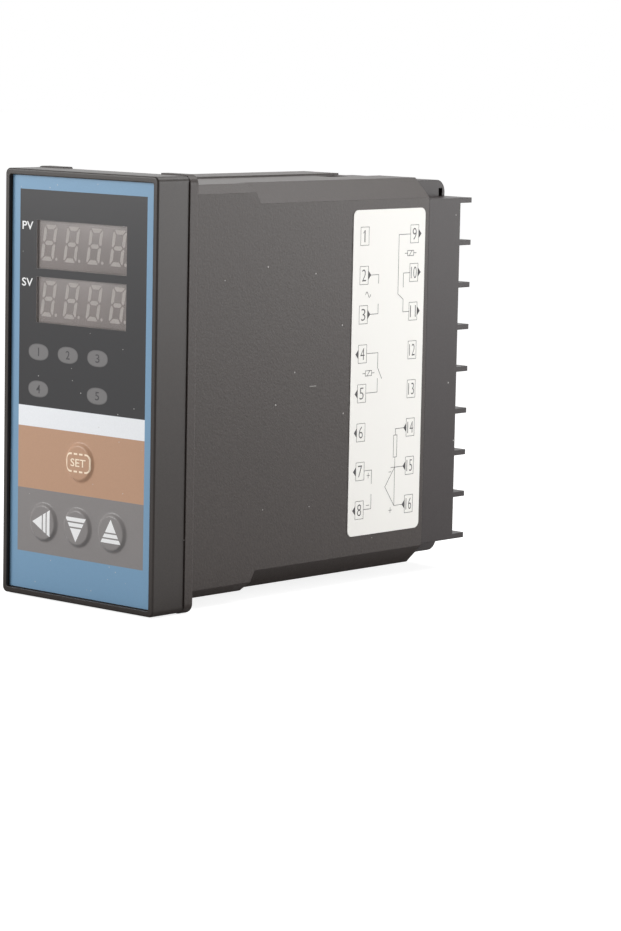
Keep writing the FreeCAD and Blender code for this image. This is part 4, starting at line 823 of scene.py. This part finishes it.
def board_material(name, look, axis, middle, half):
    """Lacquered board: tracks and tinned pads on its two faces, bare laminate on its edges. The faces
    are told from the edges by the distance from the board's middle plane."""
    finish = Finish(name)
    turn = {"X": (0, QUARTER_TURN, 0), "Y": (QUARTER_TURN, 0, 0)}[axis]
    plan = add(finish.tree, "Mapping", {"Vector": finish.position, "Rotation": turn})[0]
    tracks = finish.use(circuit_tracks, vector=plan, pitch=1.27 * MM)
    place = finish.position.split()["XYZ".index(axis)]
    on_face = abs(place - middle * MM) > (half - 0.03) * MM
    _, shade = finish.grain(900.0, shade_range=0.2)
    lacquer = shaded(mix(tracks["Track"], look.lacquer, look.track), shade)
    return finish.done({
        "Base Color": mix(on_face, look.laminate, mix(tracks["Pad"], lacquer, look.solder)),
        "Metallic": tracks["Pad"] * on_face * 0.9,
        "Roughness": on_face.times_plus(-0.3, 0.62),
    }, tracks["Track"], strength=0.3, depth=0.04, edge=0.15)


def banded_material(name, base, other, axis, pitch, share, roughness, metallic, depth):
    """Finish with fine bands of a second colour along one axis, such as sheets of a core or turns of tape."""
    finish = Finish(name)
    place = finish.position.split()["XYZ".index(axis)]
    wave = (place * (FULL_TURN / (pitch * MM))).apply("SINE")
    _, shade = finish.grain(1800.0, shade_range=0.4)
    tone = shaded(mix(wave > share, base, other), shade)
    inputs = {"Base Color": tone, "Roughness": roughness, "Metallic": metallic}
    return finish.done(inputs, wave, strength=0.4, depth=depth, edge=0.15)


def regulator_material():
    """Black moulded body with a bare metal tab behind it."""
    finish = Finish("regulator")
    tab_start = box_mm("voltage_regulator")[0][1] + REGULATOR_BODY
    tab = finish.position.split()[1] > tab_start * MM
    height, shade = finish.grain(2500.0, shade_range=0.3)
    tone = shaded(mix(tab, paint(44, 44, 46), paint(200, 200, 198)), shade)
    inputs = {"Base Color": tone, "Metallic": tab, "Roughness": 0.38}
    return finish.done(inputs, height, strength=0.3, depth=0.01, edge=0.15)


def sleeve_material(look, cans):
    """Sleeve of the capacitors, with a pale stripe along the rear of each."""
    finish = Finish("can_sleeve")
    _, y, z = finish.position.split()
    stripes = []
    for low, high in cans:
        middle_z, half_stripe = (low[2] + high[2]) / 2, (high[1] - low[1]) / 2 * 0.3
        stripes.append(
            (abs(z - middle_z * MM) < half_stripe * MM) * (abs(y - high[1] * MM) < half_stripe * MM)
        )
    stripe = reduce(Signal.highest, stripes)
    height, shade = finish.grain(1500.0, shade_range=0.15)
    tone = shaded(mix(stripe, look.sleeve, paint(196, 198, 204)), shade)
    return finish.done({"Base Color": tone, "Roughness": 0.25}, height, strength=0.1, depth=0.01)


def seen_ray(tree):
    """One for rays that show the backdrop directly, in gloss or through glass, else zero."""
    path = add(tree, "LightPath")
    return path["Is Camera Ray"].highest(path["Is Glossy Ray"]).highest(path["Is Transmission Ray"])


def floor_material(stage):
    """Pale floor that glows where it is seen. In gloss its glow is painted dark under the object and for a
    short way round it: a painted shadow in the object's reflections."""
    finish = Finish("pale_floor")
    _, shade = finish.grain(300.0, shade_range=0.01)
    x, y, _ = finish.position.split()
    beside = (abs(x) - float(CAD_HIGH[0])).highest(abs(y) - float(CAD_HIGH[1]))
    # Painted shadow: the glow seen in gloss is zero under the object and rises to full over SHADE_REACH round
    # it.
    outside_painted_shadow = add(finish.tree, "Clamp", {"Value": beside / (SHADE_REACH * MM)})[0]
    camera_ray = add(finish.tree, "LightPath")["Is Camera Ray"]
    return finish.done({
        "Base Color": shaded(stage.floor, shade), "Roughness": 0.9, "Specular IOR Level": 0.0,
        "Emission Color": (1, 1, 1),
        "Emission Strength": seen_ray(finish.tree) * outside_painted_shadow.highest(camera_ray) * FLOOR_GLOW,
    })


def dress_node(name, material):
    """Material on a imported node's own slots."""
    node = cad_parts[name]
    if not node.material_slots:
        node.data.materials.append(material)
    for slot in node.material_slots:
        slot.material = material


def finish_piece(piece, body, slot, material):
    """Material and body of a new piece. Its slot argument is not used."""
    piece.data.materials.clear()
    piece.data.materials.append(material)
    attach(piece, body)
    return piece


def squash_with_key(piece, name, face):
    """Gives a piece on a dome its own copy of its mesh. It works out the key's place but does not flatten the
    piece.
    """
    across, up = KEYS[name]
    anchor = (across * MM, face * MM, up * MM)
    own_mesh(piece)


def digit_outlines(half, rise, stroke):
    """Outlines of a digit's seven segments, each with six corners. The top one has a long outer and a
    short inner edge, and the middle one is a flat bar with pointed ends."""
    gap = SEGMENT_GAP
    cut, nib = half - gap - 0.35, 0.2
    bar, point, thick = half - stroke - gap, half - stroke / 2 - gap, stroke / 2
    top = np.array([
        (-cut, rise), (cut, rise), (half - gap - nib, rise - nib),
        (bar, rise - stroke), (-bar, rise - stroke), (-half + gap + nib, rise - nib),
    ])
    middle = np.array([(-point, 0), (-bar, thick), (bar, thick), (point, 0), (bar, -thick), (-bar, -thick)])
    right = np.array([
        (half, rise - gap - 0.35), (half, gap + 0.15), (half - thick, gap * 0.6),
        (half - stroke, gap + thick), (half - stroke, rise - stroke - gap), (half - 0.3, rise - gap - 0.1),
    ])
    left, down = right * (-1, 1), (1, -1)
    return np.array([
        top[::-1], top * down, middle[::-1], right[::-1], left, right * down, (left * down)[::-1],
    ])


def rectangle(across, up, half_width, half_height):
    """The four lines round a rectangle."""
    signs = ((-1, -1), (1, -1), (1, 1), (-1, 1), (-1, -1))
    corners = [(across + x * half_width, up + z * half_height) for x, z in signs]
    return list(zip(corners, corners[1:]))


def coil_symbol(across, up):
    """Box with a diagonal and a short line at each end."""
    half_width, half_height, reach, lean = 1.1, 0.6, 2.0, 0.5
    return rectangle(across, up, half_width, half_height) + [
        ((across - lean, up - half_height), (across + lean, up + half_height)),
        ((across - reach, up), (across - half_width, up)), ((across + half_width, up), (across + reach, up)),
    ]


def circuit_lines():
    """Lines of the wiring label's circuits and signs, in millimetres along the case and up it."""
    row = dict(zip(range(1, 17), NUMBER_ROWS * 2))
    right, left = LEFT_COLUMN + HALF_BOX[0], RIGHT_COLUMN - HALF_BOX[0]
    from_right, from_left = right + HEAD_LENGTH, left - HEAD_LENGTH
    paths = [
        # supply between 2 and 3
        [(from_right, row[2]), (20.5, row[2]), (20.5, row[2] - 2.0)],
        [(from_right, row[3]), (20.5, row[3]), (20.5, row[3] + 2.3)],
        # closing contact between 4 and 5
        [(right, row[4]), (20.8, row[4]), (20.8, 50.5), (22.3, 47.9)],
        [(right, row[5]), (20.8, row[5]), (20.8, 48.0)],
        # driven output between 7 and 8
        [(right, row[7]), (19.45, row[7]), (19.45, 23.4)],
        [(right, row[8]), (19.45, row[8]), (19.45, 20.9)],
        # changeover contact between 9, 10 and 11
        [(left, row[9]), (27.45, row[9]), (27.45, 67.4), (29.35, 66.1), (29.35, row[11]), (left, row[11])],
        [(left, row[10]), (29.3, row[10]), (29.3, 68.9)],
        # sensor between 14, 15 and 16
        [(from_left, row[14]), (27.7, row[14]), (27.7, 34.2)],
        [(27.1, 34.2), (28.3, 34.2), (28.3, 29.0), (27.1, 29.0), (27.1, 34.2)],
        [(27.7, 29.0), (27.7, row[16]), (from_left, row[16])],
        [(26.3, row[15]), (from_left, row[15])],
        [(27.7, row[15]), (24.3, 22.2), (27.7, row[16])],
        # polarity marks
        [(17.8, 25.4), (18.8, 25.4)], [(18.3, 24.8), (18.3, 26.0)], [(17.8, 18.4), (18.8, 18.4)],
        [(25.9, 16.5), (26.9, 16.5)], [(26.4, 15.9), (26.4, 17.1)], [(25.6, 25.6), (26.5, 25.6)],
        # flag of the figure one
        [(LEFT_COLUMN - 0.5, row[1] + 0.75), (LEFT_COLUMN - 0.1, row[1] + 1.2)],
    ]
    # An alternating wave beside the supply, and coil symbols beside the two contacts.
    phase = np.linspace(0, FULL_TURN, 13)
    paths.append(np.stack([16.0 + phase / math.pi * 0.9, 67.7 + 0.65 * np.sin(phase)], axis=-1))
    lines = [pair for path in paths for pair in zip(path, path[1:])]
    return lines + coil_symbol(17.6, 49.4) + coil_symbol(31.7, 76.8)


def chip_leads(low, high, board, pitch, both_ways):
    """Bent leads of a chip as low and high corners of three small bars a lead: one out of the body, one
    flat on the board and one between them. Leads stand along the body's sides, and its ends too where
    asked."""
    middle, half_lead, half_sheet = (low[0] + high[0]) / 2, pitch * 0.16, 0.08
    # Each bar: where it starts and ends out of the body, and its two levels along X.
    bars = (
        (0, 0.55, middle - half_sheet, middle + half_sheet),
        (0.4, 1.2, board - 0.2, board - 0.02),
        (0.4, 0.56, middle - half_sheet, board - 0.02),
    )
    boxes = []
    for along, out in ((2, 1), (1, 2)) if both_ways else ((2, 1),):
        count = int((high[along] - low[along] - pitch) / pitch) + 1
        start = (low[along] + high[along]) / 2 - (count - 1) / 2 * pitch
        for place in start + np.arange(count) * pitch:
            for side, edge in ((-1, low[out]), (1, high[out])):
                for near, far, bottom, top in bars:
                    box = np.empty((2, 3))
                    box[:, 0] = bottom, top
                    box[:, out] = sorted((edge + side * near, edge + side * far))
                    box[:, along] = place - half_lead, place + half_lead
                    boxes.append(box)
    return boxes


def joint_places(node, columns, rows, inset):
    """Joints over a part's footprint, set in from its edges: columns along the board and rows up it."""
    low, high = box_mm(node)
    along = np.linspace(low[1] + inset, high[1] - inset, columns)
    up = np.linspace(low[2] + inset, high[2] - inset, rows)
    return [(y, z) for y in along for z in up]


# ---- operators ----

class CONTROLLER_OT_groups(Operator):
    """Build the shader groups that the finishes share"""
    bl_idname = "controller.groups"
    bl_label = "Shader groups"

    def execute(self, context):
        for formula in SHADER_GROUPS:
            make_group(formula)
        return {"FINISHED"}


class CONTROLLER_OT_film(Operator):
    """Lay the printed film with its clear windows and key domes"""
    bl_idname = "controller.film"
    bl_label = "Front film"

    def execute(self, context):
        film = context.scene.controller_film
        face, rear = FILM_HIGH[1] - film.thickness / MM, FILM_HIGH[1]
        half_side = film.dome_radius / MM + DOME_MARGIN
        windows = window_edges(film)
        holes = windows + [
            (x - half_side, x + half_side, z - half_side, z + half_side) for x, z in KEYS.values()
        ]
        across = [FILM_LOW[0], FILM_HIGH[0]] + [edge for hole in holes for edge in hole[:2]]
        up = [FILM_LOW[2], FILM_HIGH[2]] + [edge for hole in holes for edge in hole[2:]]
        material = film_material(film)
        sheet = pierced_sheet("film_sheet", across, up, holes, face, rear)
        finish_piece(sheet, "chassis", "printed_film", material)
        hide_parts("front_film")
        for name, centre in KEYS.items():
            dome = key_patch(f"{name}_dome", centre, half_side, film, face)
            finish_piece(dome, "chassis", "printed_film", material)
            squash_with_key(dome, name, face)
        clear = window_material()
        for name, (left, right, bottom, top) in zip(("upper_window", "lower_window"), windows):
            pane = pierced_sheet(name, (left, right), (bottom, top), (), face, rear)
            finish_piece(pane, "chassis", "printed_film", clear)
        return {"FINISHED"}


class CONTROLLER_OT_legends(Operator):
    """Print the plain legends on the film"""
    bl_idname = "controller.legends"
    bl_label = "Film legends"

    def execute(self, context):
        film = context.scene.controller_film
        face = FILM_HIGH[1] - film.thickness / MM
        set_x, set_z = KEYS["set"]

        def on_dome(x, z, out):
            """Lays a drawing on the dome's own height over the film."""
            height = dome_height(np.hypot(x - set_x, z - set_z), film)
            return np.stack([x, face - height - out, z], axis=-1)

        on_film = place_on("Y", face, -1)
        # Each word: its middle, its width, or none for its own proportions, and its height.
        legends = (("PV", -17.5, 83.7, 3.5, 1.85), ("SV", -17.5, 71.05, 3.5, 1.85))
        numbers = [(text, x, z, None if text == "1" else 1.25, 1.9) for x, z, text in INDICATORS]
        key_word = (("SET", set_x, set_z, 4.8, 1.8),)
        for name, words, to_space, weight, ink, tone, roughness in (
            ("window_legends", legends, on_film, 0.012, "white_print", film.legend, 0.4),
            ("indicator_numbers", numbers, on_film, 0.006, "dark_print", paint(46, 44, 46), 0.5),
            ("set_legend", key_word, on_dome, 0.014, "cream_print", film.cream, 0.4),
        ):
            word = lettering(name, words, to_space, FILM_PRINT, weight)
            finish_piece(word, "chassis", "printed_film", plain_material(ink, tone, roughness))
        squash_with_key(word, "set", face)
        return {"FINISHED"}


class CONTROLLER_OT_displays(Operator):
    """Set the digits into the faces of the two display modules"""
    bl_idname = "controller.displays"
    bl_label = "Displays"

    def execute(self, context):
        look = context.scene.controller_displays
        housing = plain_material("display_housing", paint(190, 186, 180), 0.5)
        segment = plain_material("display_segment", look.segment, 0.35, shade_range=0.25, edge=0.0)
        face = display_material(look)
        half, rise = look.digit_width / MM / 2, look.digit_height / MM / 2
        digit = digit_outlines(half, rise, look.stroke / MM)
        circle = POINT_RADIUS * np.stack([np.cos(turns(16)), np.sin(turns(16))], axis=-1)
        front = FILM_HIGH[1] + FACE_DEPTH
        on_face = place_on("Y", front, -1)
        for name, lift in DISPLAYS:
            low, high = box_mm(name)
            middle_x, middle_z = (low[0] + high[0]) / 2, (low[2] + high[2]) / 2 + lift
            foil_box = ((low[0] - 0.2, front, low[2] - 0.1), (high[0] + 0.2, low[1] + 0.02, high[2] + 0.1))
            foil = rounded_boxes(f"{name}_face", [foil_box], 0.06, 2)
            outlines, dots = [], []
            for place in range(DIGITS):
                start = middle_x + look.digit_shift / MM + (place - (DIGITS - 1) / 2) * look.digit_pitch / MM
                leaning = digit.copy()
                leaning[..., 0] += start + leaning[..., 1] * math.tan(look.slant)
                leaning[..., 1] += middle_z
                outlines.append(leaning)
                dots.append(circle + (start + half + 0.3, middle_z - rise + 0.5))
            segments = tiles(f"{name}_segments", np.concatenate(outlines), on_face, SEGMENT_PROUD)
            points = tiles(f"{name}_points", dots, on_face, SEGMENT_PROUD)
            for piece, material in ((foil, face), (segments, segment), (points, segment)):
                finish_piece(piece, "chassis", "display_resin", material)
            dress_node(name, housing)
        return {"FINISHED"}


class CONTROLLER_OT_label(Operator):
    """Print numbers and circuit lines on the wiring label"""
    bl_idname = "controller.label"
    bl_label = "Wiring label"

    def execute(self, context):
        look = context.scene.controller_mouldings
        paper = plain_material("label_paper", look.label, 0.45, grain_size=0.3, shade_range=0.02, edge=0.05)
        dress_node("wiring_label", paper)
        ink = plain_material("label_ink", look.ink, 0.6)
        on_label = place_on("X", LABEL_FACE, 1)
        numbers, boxes, heads = [], [], []
        for number in range(1, 17):
            across = LEFT_COLUMN if number <= len(NUMBER_ROWS) else RIGHT_COLUMN
            up = NUMBER_ROWS[(number - 1) % len(NUMBER_ROWS)]
            width = None if number == 1 else 1.4 if number < 10 else 2.0
            numbers.append((str(number), across, up, width, NUMBER_HEIGHT))
            boxes += rectangle(across, up, *HALF_BOX)
            for way, headed in ((1, HEADS_RIGHT), (-1, HEADS_LEFT)):
                if number in headed:
                    edge, reach = across + way * HALF_BOX[0], way * HEAD_HALF
                    heads.append([(edge, up - reach), (edge + way * HEAD_LENGTH, up), (edge, up + reach)])
        for piece in (
            lettering("label_numbers", numbers, on_label, LABEL_PRINT, -0.012),
            tiles("label_number_boxes", strokes(boxes, 0.11), on_label, LABEL_PRINT),
            tiles("label_arrowheads", heads, on_label, LABEL_PRINT),
            tiles("label_circuit_lines", strokes(circuit_lines(), 0.13), on_label, LABEL_PRINT),
        ):
            finish_piece(piece, "case", "label_sheet", ink)
        return {"FINISHED"}


class CONTROLLER_OT_mouldings(Operator):
    """Give the case, the bezel and the terminal block their moulded finish"""
    bl_idname = "controller.mouldings"
    bl_label = "Mouldings"

    def execute(self, context):
        look = context.scene.controller_mouldings
        grain = look.grain / MM
        # Node, finish, colour, grain, roughness, gloss, depth of the grain, share of dust, place of a scuff.
        for node, *finish in (
            ("outer_case", "case_plastic", look.case, grain, 0.36, 0.24, 0.05, 0.06, (-1.4, 47.6)),
            ("front_bezel", "bezel_plastic", look.bezel, grain * 0.7, 0.33, 0.26, 0.007, 0.6),
            ("terminal_block", "block_plastic", look.block, grain * 0.7, 0.36, 0.22, 0.01, 0.06),
        ):
            dress_node(node, moulding_material(*finish))
        return {"FINISHED"}


class CONTROLLER_OT_terminals(Operator):
    """Give contacts, washers and screws their plated finish"""
    bl_idname = "controller.terminals"
    bl_label = "Terminals"

    def execute(self, context):
        steel = plain_metal("zinc_plate", paint(205, 203, 198), 0.28, 0.25)
        for name in ("terminal_screws", "clamp_washers", "display_board_screws"):
            dress_node(name, steel)
        dress_node("terminal_contacts", plain_metal("tinned_brass", paint(205, 190, 150), 0.3, 0.25))
        return {"FINISHED"}


class CONTROLLER_OT_boards(Operator):
    """Lacquer the circuit boards and solder their joints"""
    bl_idname = "controller.boards"
    bl_label = "Circuit boards"

    def execute(self, context):
        look = context.scene.controller_boards
        solder = plain_metal("solder", look.solder, 0.25, 0.3)
        for name, axis in (("display_board", "Y"), ("power_board", "X"), ("control_board", "X")):
            low, high = (corner["XYZ".index(axis)] for corner in box_mm(name))
            material = board_material(f"{name}_lacquer", look, axis, (low + high) / 2, (high - low) / 2)
            dress_node(name, material)
        low, high = box_mm("board_connectors")
        header = [(low[1] + 1.25, z) for z in np.linspace(low[2] + 2, high[2] - 2, 10)]
        power = joint_places("output_relay", 3, 2, 2.0) + joint_places("transformer_core", 2, 5, 3.0)
        power += joint_places("filter_capacitor", 1, 2, 2.5) + joint_places("alarm_relays", 6, 2, 2)
        power += [(y, z) for y, heights in LOOSE_JOINTS for z in heights] + header
        control = header + CRYSTAL_JOINTS + joint_places("memory_chip", 4, 2, 1.0)
        on_power = place_on("X", box_mm("power_board")[0][0], -1)
        on_control = place_on("X", box_mm("control_board")[1][0], 1)
        for piece in (
            turned("power_board_joints", JOINT[::-1], power, on_power, 16),
            turned("control_board_joints", JOINT, control, on_control, 16),
        ):
            finish_piece(piece, "chassis", "plated_steel", solder)
        return {"FINISHED"}


class CONTROLLER_OT_parts(Operator):
    """Finish the parts on the boards"""
    bl_idname = "controller.parts"
    bl_label = "Parts on the boards"

    def execute(self, context):
        look = context.scene.controller_boards
        black = plain_material(
            "black_resin", paint(42, 42, 44), 0.5, grain_size=0.25, shade_range=0.4, depth=0.02
        )
        can = plain_metal("can_metal", paint(208, 208, 206), 0.24, 0.15)
        stem = plain_material("key_stem", paint(48, 47, 48), 0.42)
        finishes = {
            "black_resin": black,
            "can_metal": can,
            "relay_plastic": plain_material("relay_plastic", look.relay, 0.32, grain_size=0.8),
            "filter_case": plain_material("filter_case", look.film_capacitor, 0.35, grain_size=0.8),
        }
        for name, finish, slot, radius in BODIES:
            body = rounded_boxes(f"{name}_body", solid_boxes(name), radius)
            finish_piece(body, "chassis", slot, finishes[finish])
            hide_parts(name)

        board = box_mm("control_board")[0][0]
        bars = []
        for name, pitch, both_ways in CHIPS:
            for low, high in solid_boxes(name):
                bars += chip_leads(low, high, board, pitch, both_ways)
        leads = rounded_boxes("chip_leads", bars, 0.02, 1)
        finish_piece(leads, "chassis", "plated_steel", plain_metal("tinned_lead", look.solder, 0.28, 0.3))

        for names, material in (
            (("board_connectors", "tact_switch_bodies"), black),
            (("board_spacer",), plain_material("white_nylon", paint(226, 222, 212), 0.45)),
            (("indicator_leds",), plain_material("led_lens", paint(214, 206, 196), 0.2)),
            ([f"{name}_key" for name in KEYS], stem),
            (("transformer_core",), banded_material(
                "core_sheet", paint(128, 126, 122), paint(74, 72, 70), "X", 0.5, 0.6, 0.42, 0.85, 0.03,
            )),
            (("transformer_coil",), banded_material(
                "coil_tape", look.tape, [part * 0.8 for part in look.tape], "Z", 6.4, 0.94, 0.3, 0.0, 0.05,
            )),
            (("voltage_regulator",), regulator_material()),
        ):
            for name in names:
                dress_node(name, material)

        # Each can: a foot crimp, a groove near its seal, a rounded shoulder and a rolled rim at its top.
        cans = solid_boxes("electrolytic_capacitors")
        sleeve = sleeve_material(look, cans)
        for index, (low, high) in enumerate(cans):
            radius, tall = (high[1] - low[1]) / 2, high[0] - low[0]
            centre = [((low[1] + high[1]) / 2, (low[2] + high[2]) / 2)]
            rim = radius - 0.9
            wall = [
                (radius - 0.5, 0.0), (radius - 0.15, 0.12), (radius, 0.5), (radius, 1.5), (radius - 0.4, 1.9),
                (radius - 0.4, 2.2), (radius, 2.6), (radius, tall - 0.6), (radius - 0.12, tall - 0.25),
                (radius - 0.4, tall - 0.06), (rim, tall - 0.02),
            ]
            top = [(rim, -0.2), (rim - 0.02, -0.02), (rim - 0.2, -0.06), (0.35, -0.12), (0.1, -0.12)]
            body = turned(f"capacitor_sleeve_{index}", wall, centre, place_on("X", low[0], 1))
            finish_piece(body, "chassis", "can_sleeve", sleeve)
            lid = turned(f"capacitor_lid_{index}", top, centre, place_on("X", high[0], 1))
            finish_piece(lid, "chassis", "can_metal", can)
        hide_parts("electrolytic_capacitors")
        return {"FINISHED"}


class CONTROLLER_OT_stage(Operator):
    """Set the floor, the soft lights and the camera"""
    bl_idname = "controller.stage"
    bl_label = "Stage"

    def execute(self, context):
        scene = context.scene
        stage = scene.controller_stage
        signs = np.array([(-1, -1), (1, -1), (1, 1), (-1, 1)])
        corners = np.pad(signs * float(FLOOR_HALF), ((0, 0), (0, 1)), constant_values=FLOOR_LEVEL)
        floor = surface("floor", corners, np.arange(4)[None])
        floor.data.materials.append(floor_material(stage))

        scene.world = bpy.data.worlds.new("studio")
        scene.world.use_nodes = True
        tree = scene.world.node_tree
        strength = seen_ray(tree).times_plus(1 - WORLD_LEVEL, WORLD_LEVEL)
        fill(tree.nodes["Background"], {"Color": (1, 1, 1), "Strength": strength})

        for name, place, target, width, height, power in LAMPS:
            light = bpy.data.lights.new(name, "AREA")
            light.shape = "RECTANGLE"
            light.size = width * MM
            light.size_y = height * MM
            light.energy = power
            lamp = scene_object(name, light)
            lamp.visible_camera = False
            lamp.location = Vector(place) * MM
            lamp.rotation_euler = (Vector(target) - Vector(place)).to_track_quat("-Z", "Y").to_euler()

        azimuth, roll = stage.azimuth, stage.roll
        level, rise = math.cos(stage.elevation), math.sin(stage.elevation)
        back = Vector((math.sin(azimuth) * level, -math.cos(azimuth) * level, rise))
        right = Vector((0, 0, 1)).cross(back).normalized()
        up = back.cross(right)
        rolled_right = right * math.cos(roll) + up * math.sin(roll)
        rolled_up = up * math.cos(roll) - right * math.sin(roll)
        turn = Matrix((rolled_right, rolled_up, back)).transposed().to_4x4()
        eye = bpy.data.cameras.new("camera")
        eye.lens, eye.sensor_width = CAMERA_LENS, CAMERA_SENSOR
        eye.clip_start, eye.clip_end = CAMERA_RANGE
        camera = scene_object("camera", eye)
        camera.matrix_world = Matrix.Translation(Vector(CAMERA_TARGET) * MM + back * stage.distance) @ turn
        bpy.context.scene.camera = camera
        scene.view_settings.view_transform = "Standard"
        return {"FINISHED"}


class CONTROLLER_PT_looks(Panel):
    """Sizes and colours, and the operators in their order"""
    bl_label = "Controller looks"
    bl_space_type = "VIEW_3D"
    bl_region_type = "UI"
    bl_category = "Controller"

    def draw(self, context):
        for group in GROUPS:
            box = self.layout.box()
            settings = getattr(context.scene, group)
            for name in settings.__annotations__:
                box.prop(settings, name)
        for step in STEPS:
            self.layout.operator(step.bl_idname)


GROUPS = {
    "controller_film": ControllerFilm,
    "controller_mouldings": ControllerMouldings,
    "controller_displays": ControllerDisplays,
    "controller_boards": ControllerBoards,
    "controller_stage": ControllerStage,
}
STEPS = (
    CONTROLLER_OT_groups,
    CONTROLLER_OT_stage,
    CONTROLLER_OT_mouldings,
    CONTROLLER_OT_film,
    CONTROLLER_OT_legends,
    CONTROLLER_OT_displays,
    CONTROLLER_OT_label,
    CONTROLLER_OT_terminals,
    CONTROLLER_OT_boards,
    CONTROLLER_OT_parts,
)


def register():
    for group in GROUPS.values():
        bpy.utils.register_class(group)
    for name, group in GROUPS.items():
        setattr(bpy.types.Scene, name, PointerProperty(type=group))
    for step in (*STEPS, CONTROLLER_PT_looks):
        bpy.utils.register_class(step)


def unregister():
    for step in (CONTROLLER_PT_looks, *reversed(STEPS)):
        bpy.utils.unregister_class(step)
    for name, group in reversed(GROUPS.items()):
        delattr(bpy.types.Scene, name)
        bpy.utils.unregister_class(group)


def main():
    """Register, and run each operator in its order."""
    register()
    for step in STEPS:
        family, name = step.bl_idname.split(".")
        getattr(getattr(bpy.ops, family), name)()


if __name__ == "__main__":
    main()
